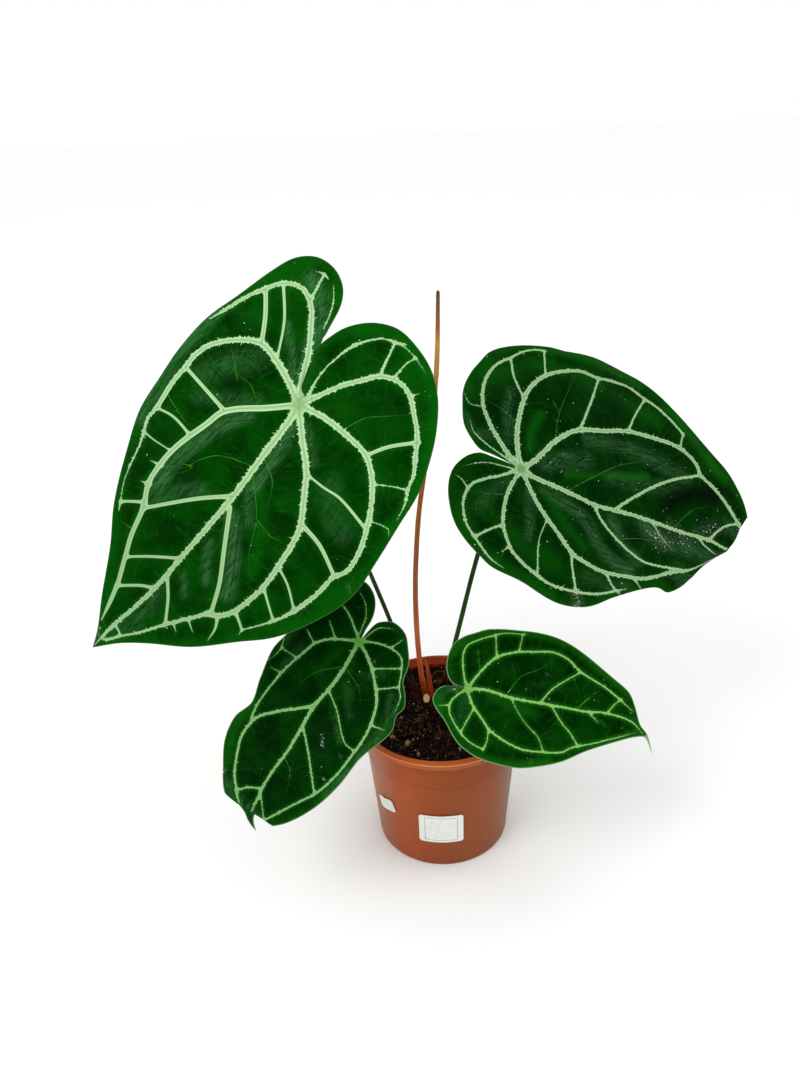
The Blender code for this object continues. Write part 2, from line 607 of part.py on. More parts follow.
def make_spadix(finish):
    """A slender rod covered in low scales, rounded at its top."""
    way = smooth_way(SPADIX_ROUTE, SPADIX_ROW)
    toward = (way[-1] - way[0]) / np.linalg.norm(way[-1] - way[0])
    way = way + toward * GAP
    across = np.cross(toward, [0, 1, 0])
    across /= np.linalg.norm(across)
    out = np.cross(toward, across)
    bm = bmesh.new()
    rings = []
    for row, place in enumerate(way):
        t = row / (len(way) - 1)
        radius = SPADIX_RADIUS[0] + (SPADIX_RADIUS[1] - SPADIX_RADIUS[0]) * t
        radius *= math.sqrt(1 - 0.88 * max(0, (t - SPADIX_TIP_START) / (1 - SPADIX_TIP_START))**2)
        ring = []
        for side in range(SPADIX_SIDES):
            angle = math.tau * side / SPADIX_SIDES
            scaly = 0 < row and t < SPADIX_TIP_START
            scale = radius + SPADIX_SCALE_RELIEF * (1 if (side + row) % 2 else -1) * scaly
            spot = place + scale * (math.cos(angle) * across + math.sin(angle) * out)
            ring.append(bm.verts.new(spot * MM))
        rings.append(ring)
    for row, (lower, upper) in enumerate(zip(rings, rings[1:])):
        for side in range(SPADIX_SIDES):
            after = (side + 1) % SPADIX_SIDES
            quad = (lower[side], lower[after], upper[after], upper[side])
            odd = (side + row) % 2
            bm.faces.new((quad[odd], quad[odd + 1], quad[(odd + 2) % 4]))
            bm.faces.new((quad[odd], quad[(odd + 2) % 4], quad[(odd + 3) % 4]))
    bm.faces.new(rings[0])
    bm.faces.new(rings[-1])
    return mesh_object("spadix", bm, finish)


# Stub and sheath at the main crown

def make_cut_stub(finish):
    """The stump of an older stalk, cut across at a slant."""
    made = rod("cut_stub", STUB_BASE, STUB_TOP, STUB_RADIUS, finish)
    for vert in made.data.vertices:
        if vert.co.z > (STUB_BASE[2] + STUB_TOP[2]) / 2 * MM:
            vert.co.z += STUB_SLANT * (vert.co.y - STUB_TOP[1] * MM)
    return made


def make_sheath(finish):
    """A dry sheath that stands beside the stalks and narrows to a point."""
    way = smooth_way(SHEATH_ROUTE, STALK_STEP / 2)
    t = np.linspace(0, 1, len(way))
    base, tip = SHEATH_RADIUS
    return tube("sheath_leaf", way, tip + (base - tip) * (1 - t**1.6), finish)


# Labels

def make_label(name, angle, height, width, tall, tilt, finish):
    """A thin blank sticker that follows the pot wall, centred at an angle from the front."""
    turn = math.radians(tilt)
    bm = bmesh.new()
    rows = []
    for lift in (GAP, GAP + LABEL):
        for v in (-tall / 2, tall / 2):
            row = []
            for number in range(LABEL_COLUMNS + 1):
                u = width * (number / LABEL_COLUMNS - 0.5)
                z = height + u * math.sin(turn) + v * math.cos(turn)
                around = math.radians(angle) + (u * math.cos(turn) - v * math.sin(turn)) / wall_radius(z)
                radius = wall_radius(z) + lift
                row.append(bm.verts.new(Vector((radius * math.sin(around), -radius * math.cos(around), z)) * MM))
            rows.append(row)
    low, high, low_out, high_out = rows
    for first, second in ((low, high), (high, high_out), (high_out, low_out), (low_out, low)):
        for number in range(LABEL_COLUMNS):
            bm.faces.new((first[number], first[number + 1], second[number + 1], second[number]))
    for number in (0, LABEL_COLUMNS):
        bm.faces.new((low[number], high[number], high_out[number], low_out[number]))
    return mesh_object(name, bm, finish)


def main():
    clear_scene()
    make_pot(material("terracotta plastic", (0.42, 0.115, 0.05), 0.4))
    make_soil(material("peat and bark", (0.035, 0.018, 0.01), 0.95))
    crown_brown = material("crown bark", (0.07, 0.03, 0.015), 0.8)
    stub = ("stub", STUB_BASE, STUB_TOP, STUB_RADIUS)
    sheath = ("sheath", *SHEATH_ROUTE[:2], SHEATH_RADIUS[0])
    flower = ("flower", FLOWER_ROUTE[0], FLOWER_ROUTE[1], FLOWER_RADIUS[0])
    routes = {name: (name, *stalk["route"][:2], stalk["radius"][0]) for name, stalk in LEAF_STALKS.items()}
    make_crown("crown_main", [stub, sheath, flower, routes["leaf_1"], routes["leaf_3"]], crown_brown)
    make_crown("crown_second", [routes["leaf_2"], routes["leaf_4"]], crown_brown)
    make_cut_stub(material("cut pith", (0.75, 0.62, 0.42), 0.6))
    make_sheath(material("sheath red brown", (0.25, 0.06, 0.03), 0.6))
    blade_green = material("blade green", (0.005, 0.07, 0.006), 0.5)
    stalk_green = material("stalk olive", (0.03, 0.07, 0.015), 0.5)
    for name in LEAVES:
        make_blade(name, blade_green)
        make_leaf_stalk(name, stalk_green)
    make_flower_stalk(material("flower stalk brown", (0.4, 0.17, 0.06), 0.5))
    make_spadix(material("spadix tan", (0.42, 0.24, 0.1), 0.7))
    paper = material("label paper", (0.85, 0.85, 0.82), 0.6)
    for name, label in LABELS.items():
        make_label(name, finish=paper, **label)


main()
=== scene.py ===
"""Looks of the potted crystal anthurium: veined velvet leaves, stalks, peat and a plastic nursery pot."""

import math
import random

import bpy
import numpy as np
from mathutils import Matrix, Vector, noise
from mathutils.geometry import delaunay_2d_cdt


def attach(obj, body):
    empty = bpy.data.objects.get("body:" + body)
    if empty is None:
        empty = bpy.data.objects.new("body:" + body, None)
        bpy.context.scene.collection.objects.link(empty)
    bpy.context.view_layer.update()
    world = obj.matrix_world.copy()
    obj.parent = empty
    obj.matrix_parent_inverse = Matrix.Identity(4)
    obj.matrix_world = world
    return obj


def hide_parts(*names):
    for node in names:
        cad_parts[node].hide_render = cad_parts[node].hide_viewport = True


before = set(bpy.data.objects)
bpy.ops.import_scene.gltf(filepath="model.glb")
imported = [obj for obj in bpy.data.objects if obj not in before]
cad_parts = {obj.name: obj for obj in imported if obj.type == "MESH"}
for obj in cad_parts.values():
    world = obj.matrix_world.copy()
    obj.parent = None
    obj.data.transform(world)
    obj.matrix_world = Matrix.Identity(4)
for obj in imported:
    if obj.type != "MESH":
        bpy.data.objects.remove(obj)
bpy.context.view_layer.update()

# Sizes are in millimetres and degrees, and the meshes in metres
MM = 0.001
GAP = 0.35

# Pot
POT_HEIGHT = 105.0
LIP_RADIUS = 60.4
LIP_INNER_RADIUS = 57.7
LIP_HEIGHT = 6.8
LIP_BEAD = 2.6
WALL_RADIUS_AT_LIP = 55.7
WALL_TAPER = 0.082
WALL = 1.3
STEP_HEIGHT = POT_HEIGHT - 28.8
STEP_DEPTH = 0.7
FLOOR = 2.0
DRAIN_HOLES = 6
DRAIN_RADIUS = 4.5
DRAIN_CIRCLE = 33.0
POT_SIDES = 144

# Soil: tints, the share of crumbs up to which each tint is drawn, and pieces placed one by one
SOIL_TOP = 97.0
SOIL_ROUGHNESS = 1.3
SOIL_CLEARANCE = 0.5
SOIL_SIDES = 120
CRUMBS = 5200
BARK_BITS = 44
FIBRES = 150
SOIL_SEED = 21
SOIL_TINTS = dict(ground="180a07", dark="200e0a", brown="361c14", bark="5c382a", tan="a8845a",
                  olive="5c5038", straw="7c5e44", rose="9a705c", pale="f4e8d4")
CRUMB_MIX = [(0.44, "dark"), (0.74, "brown"), (0.88, "bark"), (0.9, "olive"), (0.935, "tan"),
             (0.965, "rose")]
FINE_CRUMB = (0.35, 0.8)
COARSE_CRUMB = (0.8, 1.5)
PALE_CRUMB = (0.2, 0.4)
FINE_SHARE = 0.78
NAMED_BITS = [(-24, -30, 2.0, "tan"), (-17, -42, 1.5, "tan"), (-34, -24, 2.1, "tan"), (2, 32, 2.2, "bark"),
              (-15, -4, 1.6, "olive"), (-12, -1, 1.4, "olive"), (-17, -7, 1.3, "olive"),
              (-10, -6, 1.5, "bark"), (-2, 36, 1.5, "rose"), (-17, -26.5, 0.55, "pale"),
              (-13, -25, 0.5, "pale"), (-20, -27, 1.1, "tan"), (-28, -34, 1.5, "bark"),
              (-8, -34, 1.2, "bark"), (-12, -18, 1.4, "olive"), (4, -30, 1.1, "bark")]
NAMED_STICKS = [(0.5, "bark", [(-19.2, 21.7, 100.6), (-16.5, 15.5, 100.9), (-13.6, 8.4, 100.2)]),
                (0.35, "straw", [(-3, 42, 99.5), (1, 45, 101), (6, 43, 100.4)])]

# Crowns, the stem bases that the stalks leave
CROWNS = {
    "crown_main": dict(centre=(-11.5, 12.5), radius=11.0, top=100.5),
    "crown_second": dict(centre=(4.5, 31.0), radius=8.0, top=99.8),
}
CROWN_DEPTH = 9.0
CROWN_LEVEL = 101.0
COLLAR = 1.8
COLLAR_REACH = 1.1

# Leaf blades
BLADE = 0.9
EDGE_THICKNESS = 0.45
VEIN_GROOVE = 0.6
VEIN_RIB = 1.0
VEIN_BLEND = 0.6
VEIN_RUN_APART = 37
VEIN_JOIN = 2.5
VEIN_END_SHARE = 0.25
VEIN_TAPER = 14
HEART_SHARE = 1 / 210
HEART_REACH = 5.5
QUILT = 0.55
RIPPLE = 0.35
FINE_STEP = 1.4
WAVE_REACH = 2.0
LAP_WIDTH = 2.3
LAP_LENGTH = 37
THREAD_SHARE = 0.45
THREAD_START = (8, 12)
THREAD_APART = (4, 8.5)
THREAD_LEAN = (55, 85)
THREAD_LENGTH = (6, 20)
THREAD_BEND = 0.14
THREAD_STRENGTH = (0.06, 0.22)
THREAD_REACH = 4
PLAN_UNIT = 100

# Each blade lies in its own frame: x runs from the stalk to the tip, y across, z out of the upper face.
# left and right are its two margins. Each silver vein gives its half width at both ends, then its way,
# and faint ones only their way. A stroke of painted sheen, glow, dust or shade starts with width and
# strength.
LEAVES = {
    "leaf_1": dict(
        vein_share=0.83, joint=(-80, 11, 327), heading=-146, pitch=37, roll=-40, fold=0.12, arch=1.6,
        droop=0.35, lobe_droop=0.9, half_width=95, wave=2.5, wave_length=95, wave_start=(100, 20),
        curl=None,
        lap=[(-5, -1.8), (-20, -7.5), (-38, -14)],
        shade=[(1.6, 0.88, [(-6, -2.4), (-20, -7.6), (-33, -12)])],
        left=[(-3, -1), (-20, -7.3), (-36, -13.2), (-50, -11.5), (-61, -6), (-70, 3), (-75, 16), (-73, 32),
              (-67, 48), (-57, 61), (-46, 70), (-29, 80), (-3, 90), (20, 93), (46, 96), (66, 98), (82, 95),
              (103, 86), (118, 76), (131, 63), (151, 43), (166, 21), (177, 7), (189, -4)],
        right=[(-3, -1), (-20, -7.8), (-37, -14), (-50, -17), (-65, -21), (-75, -28), (-81, -40),
               (-80, -53), (-71, -63), (-55, -69), (-31, -75), (-9, -80), (15, -80), (38, -78), (62, -75),
               (86, -64), (116, -48), (136, -34), (162, -19), (178, -9), (189, -4)],
        silver=[(3.0, 1.3, [(0, 0), (13, 2), (34, 3), (70, 5), (118, 4), (140, 3), (159, 0), (174, -3),
                            (187, -4)]),
                (2.6, 1.8, [(0, 0), (15, 15), (29, 30), (45, 41), (56, 48), (66, 51), (81, 53), (98, 54),
                            (118, 50), (127, 44), (130, 38)]),
                (1.6, 0.6, [(130, 38), (138, 32), (151, 22), (164, 13), (172, 6), (181, -1)]),
                (2.4, 1.6, [(0, 0), (-3, 17), (-3, 33), (-1, 50), (5, 60), (15, 69), (28, 77), (45, 84),
                            (59, 86), (68, 82), (82, 81), (97, 77)]),
                (1.4, 0.9, [(97, 77), (104, 74), (111, 70)]),
                (0.7, 0.45, [(111, 70), (118, 65), (125, 60), (128, 60)]),
                (2.2, 1.7, [(0, 0), (-14, 7), (-24, 12), (-34, 19), (-44, 27), (-48, 35), (-48, 43),
                            (-45, 50), (-39, 57), (-31, 66), (-17, 76)]),
                (1.5, 0.5, [(-17, 76), (-9, 81), (0, 84), (8, 88), (18, 90)]),
                (1.0, 0.35, [(-3, 1), (-10, 1), (-18, -1), (-24, -2)]),
                (0.35, 1.1, [(-24, -2), (-30, -2), (-37, -1), (-44, 0), (-50, 2)]),
                (1.1, 0.6, [(-50, 2), (-57, 6), (-64, 12)]),
                (0.35, 0.3, [(-64, 12), (-67, 20), (-68, 28), (-67, 36)]),
                (0.25, 0.2, [(-67, 36), (-63, 47)]),
                (1.1, 0.7, [(-44, 27), (-49, 25), (-60, 22), (-67, 20)]),
                (0.5, 0.5, [(-66, 16), (-67, 20), (-70, 26)]),
                (0.8, 0.45, [(-48, 34), (-52, 34), (-60, 34), (-67, 36)]),
                (0.5, 0.2, [(-45, 49), (-51, 52)]),
                (0.6, 0.25, [(10, 66), (7, 71)]),
                (0.25, 0.6, [(7, 71), (4, 76), (0, 84)]),
                (0.3, 0.45, [(28, 78), (25, 89), (28, 92)]),
                (2.6, 1.4, [(0, 0), (-9, -6), (-28, -16), (-45, -28), (-53, -35), (-58, -46), (-54, -57),
                            (-44, -64), (-33, -70), (-18, -75), (-8, -78)]),
                (1.1, 0.7, [(-55, -37), (-74, -42)]),
                (0.5, 0.4, [(-73, -38), (-74, -42), (-72, -47)]),
                (0.4, 0.6, [(-46, -19), (-58, -23), (-65, -27), (-72, -33)]),
                (2.9, 1.7, [(0, 0), (-7, -14), (-12, -27), (-15, -42), (-8, -55), (3, -65), (14, -69),
                            (25, -69), (40, -69), (55, -67)]),
                (1.4, 0.5, [(55, -67), (63, -67), (70, -64), (78, -60), (85, -58), (92, -56)]),
                (0.4, 0.3, [(92, -56), (97, -54), (102, -52), (112, -46)]),
                (0.45, 0.25, [(71, -64), (71, -54), (70, -44)]),
                (0.6, 0.2, [(80, -40), (82, -48)]),
                (0.6, 0.2, [(93, -38), (95, -44)]),
                (1.0, 0.7, [(103, -34), (108, -41), (112, -46)]),
                (0.5, 0.3, [(112, -46), (117, -43)]),
                (2.4, 1.3, [(0, 0), (13, -13), (31, -32), (45, -36), (64, -41), (78, -42), (93, -40),
                            (106, -33), (123, -28), (137, -22), (151, -16), (173, -10)]),
                (1.2, 1.0, [(31, -32), (28, -50), (25, -68)]),
                (0.8, 0.6, [(55, -40), (53, -55), (55, -67)]),
                (1.4, 1.1, [(68, 4), (82, -11), (107, -33)]),
                (0.9, 0.7, [(116, 3), (126, -11), (135, -22)]),
                (0.9, 0.8, [(139, 2), (143, -5), (152, -16)]),
                (0.5, 0.4, [(170, -2), (173, 4), (180, 0)]),
                (1.5, 1.3, [(74, 8), (93, 20), (112, 32), (128, 39)]),
                (1.0, 0.8, [(129, 5), (139, 14), (151, 22)]),
                (0.55, 0.9, [(30, 30), (30, 44), (29, 56), (33, 77)]),
                (1.4, 1.0, [(55, 48), (58, 64), (66, 81)]),
                (1.1, 1.2, [(-1, 52), (-13, 59), (-27, 71)]),
                (0.6, 0.6, [(83, 54), (88, 65), (97, 77)]),
                (0.7, 0.6, [(98, 55), (103, 62), (109, 71)]),
                (1.5, 1.5, [(-15, -42), (-30, -52), (-44, -64)]),
                (0.6, 0.9, [(-13, -28), (-35, -41), (-53, -57)]),
                (0.9, 0.6, [(119, 50), (123, 57), (125, 60)]),
                (1.0, 0.35, [(127, 43), (134, 47), (142, 48)]),
                (0.5, 0.15, [(140, 31), (144, 38)]),
                (0.45, 0.15, [(147, 25), (150, 30)])],
        faint=[[(16, -18), (9, -31), (10, -46)], [(47, 0), (54, -17), (66, -26), (73, -26),
               (83, -36)], [(50, 6), (69, 25), (86, 34), (97, 42)], [(-4, 31), (-18, 37), (-24, 43),
               (-36, 56)], [(69, -26), (74, -36)], [(12, -38), (2, -50), (-4, -58)], [(69, 25), (72, 38),
               (70, 48)], [(45, -66), (50, -50), (51, -40)], [(120, -29), (121, -38)], [(38, 4), (46, 18),
               (60, 26)]],
        painted_sheen=[(9, 1.0, [(-14, -10), (-26, -15), (-40, -20), (-52, -27), (-62, -36), (-66, -46)]),
               (5, 0.8, [(-10, -12), (-22, -24), (-34, -38)]), (13, 0.5, [(-6, -38), (6, -48), (20, -56)]),
               (8, 0.5, [(14, -20), (24, -34), (34, -50)]), (9, 0.75, [(-16, -79), (12, -78), (40, -76),
               (66, -71)]), (8, 1.0, [(24, -20), (42, -29), (60, -34), (76, -36), (94, -33)]),
               (8, 0.6, [(76, -12), (86, -24), (98, -30)]), (7, 1.0, [(14, 6), (28, 9), (44, 11),
               (56, 12)]), (5, 0.6, [(58, 8), (66, 16), (74, 24)]), (8, 1.0, [(78, 13), (90, 24), (104, 34),
               (114, 40)]), (6, 0.7, [(98, 12), (108, 19), (116, 25)]), (5, 0.5, [(122, 12), (130, 20)]),
               (6, 0.6, [(8, 12), (14, 20), (22, 30)]), (12, 0.35, [(28, 46), (40, 60), (44, 70)]),
               (9, 0.4, [(140, 6), (156, 8), (170, 2)])],
        glow=[(9, 0.8, [(-60, -2), (-70, 18), (-62, 48), (-40, 72), (-8, 88), (24, 91)]),
              (7, 0.6, [(-72, -52), (-56, -66), (-34, -72)]), (6, 0.5, [(0, 8), (-14, 20), (-30, 34)]),
              (7, 0.5, [(52, 10), (64, 26), (80, 36), (96, 44)]), (10, 0.5, [(60, 92), (92, 86),
              (118, 70)]), (22, 0.4, [(-16, 28), (-10, 50), (6, 66)]), (16, 0.45, [(-46, 20), (-58, 34),
              (-50, 56), (-34, 74)]), (18, 0.3, [(20, 44), (40, 58)]), (16, 0.8, [(-66, -30), (-52, -58),
              (-30, -80), (0, -84)]), (15, 0.5, [(-34, -28), (-42, -50), (-22, -58)])],
        dust=[(3, 0.6, [(178, -8), (183, -6)]), (1.5, 0.7, [(66, 92), (68, 95)])],
    ),
    "leaf_2": dict(
        vein_share=0.84, joint=(56, 20, 274), heading=-2, pitch=22, roll=43, fold=0.14, arch=2.2, droop=0.5,
        lobe_droop=0.9, half_width=82, wave=2.5, wave_length=80, wave_start=(0, 160),
        curl=dict(angle=-36, start=118, radius=14, turn=110, bulge=7.5, bulge_place=91, bulge_width=17),
        left=[(-3, 0.4), (-20, 3), (-29, 4), (-36, 9), (-43, 17), (-47, 29), (-49, 41), (-47, 53),
              (-43, 63), (-37, 75), (-26, 85), (-13, 92), (1, 95), (14, 95), (40, 101), (56, 102), (72, 98),
              (99, 80), (131, 62), (145, 53), (155.5, 41.5), (161.5, 33), (166.5, 23), (174.5, 9),
              (183, -6)],
        right=[(-3, 0.4), (-20, 1.6), (-29, 1.5), (-37, -4), (-43, -15), (-43, -28), (-38, -42), (-32, -51),
               (-23, -59), (-13, -65), (-4, -69), (17, -71), (43, -77), (61, -74), (78, -62), (97, -50),
               (107, -46), (116.5, -47.5), (136, -40), (154, -30), (170, -18), (183, -6)],
        silver=[(2.0, 1.1, [(0, 0), (10, -3), (25, -4), (43, -6), (55, -7), (85, -4), (117, -3), (140, -1),
                            (172, -5)]),
                (2.1, 1.4, [(0, 0), (7, 8), (18, 26), (30, 38), (48, 45), (66, 52), (87, 54), (105, 54),
                            (114, 51), (121, 46), (124, 41), (136, 36), (149, 27), (170, 8)]),
                (2.1, 1.0, [(0, 0), (-6, 13), (-9, 27), (-9, 45), (-6, 58), (2, 70), (14, 78), (26, 83),
                            (38, 84), (51, 88), (63, 89), (76, 83), (88, 77), (107, 65)]),
                (1.9, 0.8, [(0, 0), (-11, 7), (-24, 19), (-32, 30), (-36, 40), (-36, 54), (-31, 67),
                            (-23, 76), (-15, 85), (-7, 90), (0, 91)]),
                (1.7, 1.2, [(0, 0), (7, -10), (16, -21), (24, -28), (34, -36), (44, -44), (57, -48),
                            (67, -49), (81, -47), (97, -43), (114, -33), (130, -26), (160, -16)]),
                (1.6, 0.8, [(0, 0), (-5, -16), (-6, -28), (-4, -41), (2, -51), (7, -56), (17, -61),
                            (35, -67), (52, -67), (66, -64), (85, -54)]),
                (1.3, 0.7, [(0, 0), (-12, -9), (-22, -15), (-29, -21), (-32, -30), (-31, -38), (-27, -47),
                            (-20, -54), (-7, -64), (3, -67)]),
                (0.45, 0.3, [(-6, -2), (-20, -3), (-29, -6), (-37, -11)]),
                (0.6, 0.45, [(-4, 1), (-16, 5), (-27, 9), (-36, 14), (-40, 21)]),
                (1.2, 1.1, [(68, -4), (77, 6), (89, 18), (103, 29), (124, 41)]),
                (1.1, 0.8, [(52, -7), (59, -16), (70, -24), (82, -30), (95, -33), (120, -29)]),
                (0.8, 0.5, [(129, -2), (136, -6), (148, -10)]),
                (0.9, 0.8, [(138, -1), (148, 12), (160, 19)]),
                (0.9, 0.8, [(-22, 75), (-18, 62), (-9, 48)]),
                (0.7, 0.6, [(-1, 90), (2, 71)]),
                (1.0, 0.9, [(32, 39), (36, 60), (40, 84)]),
                (0.85, 0.8, [(66, 52), (70, 67), (76, 83)]),
                (0.7, 0.6, [(105, 54), (106, 66)]),
                (0.9, 0.8, [(-20, -54), (-11, -46), (-4, -41)]),
                (0.9, 0.8, [(43, -43), (46, -53), (52, -67)]),
                (0.35, 0.6, [(23, -28), (21, -43), (25, -62)]),
                (0.35, 0.3, [(-36, 32), (-43, 32), (-48, 38)]),
                (0.5, 0.3, [(-31, -25), (-36, -20), (-41, -18)]),
                (0.5, 0.2, [(2, -54), (-1, -58)]),
                (0.4, 0.3, [(95, -5), (103, -12), (112, -18)]),
                (0.8, 0.6, [(68, -49), (75, -56), (84, -60)]),
                (0.5, 0.3, [(88, -46), (98, -52), (106, -54)])],
        faint=[[(17, 25), (16, 46), (22, 78)], [(33, -4), (46, 9), (64, 25), (90, 39)], [(-9, 28),
               (-20, 34), (-33, 38)], [(70, -26), (84, -20), (100, -16)], [(110, -4), (122, 14),
               (134, 22)], [(10, 52), (16, 46)], [(-5, -20), (-16, -24), (-28, -26)]],
        painted_sheen=[(10, 0.8, [(14, 8), (26, 14), (40, 20)]), (9, 0.8, [(40, 34), (58, 38), (78, 38), (98, 36),
               (112, 32)]), (9, 0.5, [(60, 14), (84, 18), (106, 24)]), (7, 1.0, [(18, -9), (34, -14),
               (48, -20), (58, -32), (70, -40), (84, -42)]), (7, 0.9, [(66, -14), (76, -26), (88, -34)]),
               (10, 0.8, [(88, -8), (104, -14), (120, -14), (140, -12)]), (10, 0.9, [(118, -32), (134, -36),
               (148, -30)]), (6, 0.8, [(8, -14), (11, -28), (14, -42)]), (6, 0.7, [(-12, 16), (-18, 34),
               (-18, 50)]), (6, 0.6, [(-26, 14), (-38, 14), (-43, 22)]), (7, 0.5, [(-6, -12), (-16, -22),
               (-22, -36)]), (8, 0.5, [(56, -56), (72, -56), (84, -52)]), (9, 0.95, [(138, -16), (152, -10),
               (166, -2)]), (8, 0.6, [(150, 14), (164, 8), (172, 0)])],
        glow=[(8, 1.0, [(92, 80), (112, 68), (128, 56), (142, 46)]), (13, 0.5, [(-47, 38), (-30, 60),
              (-6, 76), (24, 80), (60, 76), (84, 66)]), (11, 0.4, [(-34, -14), (-16, -34), (10, -48),
              (34, -54)]), (8, 0.7, [(-8, 92), (16, 93), (46, 97), (70, 94)]), (6, 0.7, [(2, 14), (0, 26),
              (4, 40)]), (5, 0.8, [(30, 6), (48, 12), (66, 18), (84, 24)]), (6, 0.5, [(22, -14), (34, -26),
              (50, -38)]), (9, 0.6, [(-40, 46), (-36, 66)]), (9, 0.5, [(-36, -30), (-22, -54), (4, -66),
              (34, -73)])],
        shade=[(13, 0.88, [(106, 14), (116, 22), (126, 28), (136, 30)])],
        dust=[(6, 0.9, [(52, -69), (54, -72)]), (11, 0.6, [(96, -12), (103, -15)]), (1.6, 1.0, [(111, -13),
              (112, -14)]), (1.6, 1.0, [(24, 18), (25, 18.5)]), (9, 0.4, [(130, 0), (140, 8)]),
              (1.6, 0.9, [(88, -44), (90, -45)]), (10, 0.45, [(110, -4), (122, -9)])],
    ),
    "leaf_3": dict(
        vein_share=0.78, joint=(-52, -24, 178), heading=-130, pitch=37, roll=-21, fold=0.12, arch=2.5,
        droop=0.4, lobe_droop=1.0, half_width=47, wave=2.0, wave_length=60, wave_start=(90, 0),
        curl=dict(angle=-4, start=124, radius=7, turn=55, bulge=0, bulge_place=0, bulge_width=1),
        left=[(-2, 0.6), (-8, 1.8), (-15, 4), (-18, 7), (-21, 14), (-18, 24), (-11, 30), (-1, 36), (10, 38),
              (17, 43), (24, 46), (31, 44), (39, 46), (48, 44), (64, 37), (84, 33), (103, 26), (119, 15),
              (127, 4), (128, -3), (131, -6), (137, -7), (144, -6.5), (150, -5.2)],
        right=[(-2, 0.6), (-8, 0.2), (-16, 0.4), (-24, -1.5), (-31, -6), (-36, -14), (-36, -25), (-29, -35),
               (-16, -41), (0, -42), (14, -43), (31, -48), (50, -46), (66, -42), (79, -47), (95, -46),
               (110, -38), (121, -30), (127, -21), (131, -16.5), (135, -13.5), (141, -11.5), (146, -8.8),
               (150, -5.2)],
        silver=[(1.6, 0.9, [(0, 0), (21, 0), (36, -2), (49, -5), (80, -6), (102, -9), (128, -8)]),
                (1.1, 0.8, [(0, 0), (7, -16), (14, -24), (23, -28), (42, -35), (63, -38), (75, -37)]),
                (1.2, 1.0, [(49, -5), (56, -14), (64, -25), (73, -34), (87, -37), (99, -34), (108, -30),
                            (116, -24), (127, -14)]),
                (0.8, 0.7, [(109, -10), (112, -17), (117, -23)]),
                (1.2, 0.8, [(0, 0), (9, 13), (20, 23), (29, 29), (40, 32), (52, 33), (73, 30), (84, 27),
                            (96, 22), (104, 16), (125, 1)]),
                (0.8, 0.5, [(0, 0), (-4, 11), (-5, 21), (-3, 29), (5, 34), (14, 37), (20, 41), (30, 42)]),
                (0.45, 0.45, [(-3, 2), (-13, 7), (-17, 16)]),
                (0.8, 0.7, [(0, 0), (-12, -14), (-17, -24)]),
                (0.4, 0.4, [(-4, -2), (-16, -4), (-24, -9), (-29, -16)]),
                (0.5, 0.5, [(37, -1), (46, 10), (60, 23), (62, 31)]),
                (0.8, 0.7, [(65, -4), (75, 5), (85, 13), (95, 21)]),
                (0.5, 0.4, [(112, -8), (124, 1)]),
                (0.5, 0.5, [(12, 16), (8, 24), (4, 32)]),
                (0.6, 0.5, [(22, 25), (19, 30), (15, 36)]),
                (0.6, 0.4, [(43, 33), (42, 42)]),
                (0.5, 0.5, [(14, -26), (9, -34)]),
                (0.5, 0.45, [(6, -14), (-3, -24)]),
                (0.45, 0.4, [(-6, 21), (-14, 25)]),
                (0.4, 0.3, [(28, -31), (27, -43)]),
                (0.4, 0.3, [(41, -35), (41, -43)]),
                (0.4, 0.3, [(21, -44), (28, -43), (34, -45), (38, -48)])],
        faint=[[(20, 2), (26, 14), (36, 22)], [(84, -8), (92, 2), (104, 6)], [(20, -2), (30, -14),
               (44, -22)]],
        painted_sheen=[(5, 0.9, [(22, 36), (34, 40), (46, 40)]), (5, 1.0, [(48, 40), (62, 37), (76, 34), (92, 28)]),
               (3, 0.8, [(44, 5), (54, 14), (62, 21)]), (5, 0.45, [(18, 12), (12, 24)]),
               (7, 0.5, [(22, -32), (38, -36)]), (6, 0.6, [(8, -40), (22, -42)]), (6, 0.8, [(116, -30),
               (122, -16), (125, -2)]), (5, 0.4, [(30, 8), (44, 18)])],
        glow=[(6, 0.8, [(66, -40), (84, -44), (104, -38)]), (5, 0.8, [(44, 44), (70, 38), (100, 26)]),
              (6, 0.5, [(12, 2), (26, 6), (34, 12)]), (6, 0.4, [(12, -8), (30, -14)])],
        dust=[(1.6, 1.0, [(63, 9), (68, 12)]), (1.2, 0.8, [(85, 22), (86, 24)]), (1.2, 0.8, [(68, 24),
              (69, 26)]), (3, 0.7, [(110, -36), (114, -37)]), (1.2, 0.7, [(6, 15), (8, 16)])],
    ),
    "leaf_4": dict(
        vein_share=0.84, joint=(15, -50, 156), heading=-11, pitch=16, roll=37, fold=0.12, arch=2.5,
        droop=0.4, lobe_droop=1.0, half_width=45, wave=1.5, wave_length=60, wave_start=(90, 0), curl=None,
        left=[(-2, 0.3), (-9, 0.6), (-14, 5), (-17, 14), (-16, 25), (-11, 32), (-4, 37), (4, 42), (26, 49),
              (38, 51), (51, 50), (71, 44), (92, 35), (101, 30), (106, 23), (112, 12), (118, 7), (123, -3)],
        right=[(-2, 0.3), (-9, -0.8), (-14, -2), (-18, -6), (-19, -13), (-14, -19), (-9, -23), (2, -34),
               (10, -38), (19, -40), (38, -39), (49, -36), (67, -27), (82, -15), (103, -1), (112, 4),
               (117, 5), (123, -3)],
        silver=[(1.15, 0.55, [(0, 0), (11, 3), (28, 3), (60, 7), (76, 9), (88, 12), (106, 12), (116, 6)]),
                (0.9, 0.7, [(0, 0), (4, 10), (9, 20), (15, 27), (25, 33), (36, 37), (48, 40), (58, 38),
                            (67, 33), (86, 28), (105, 19)]),
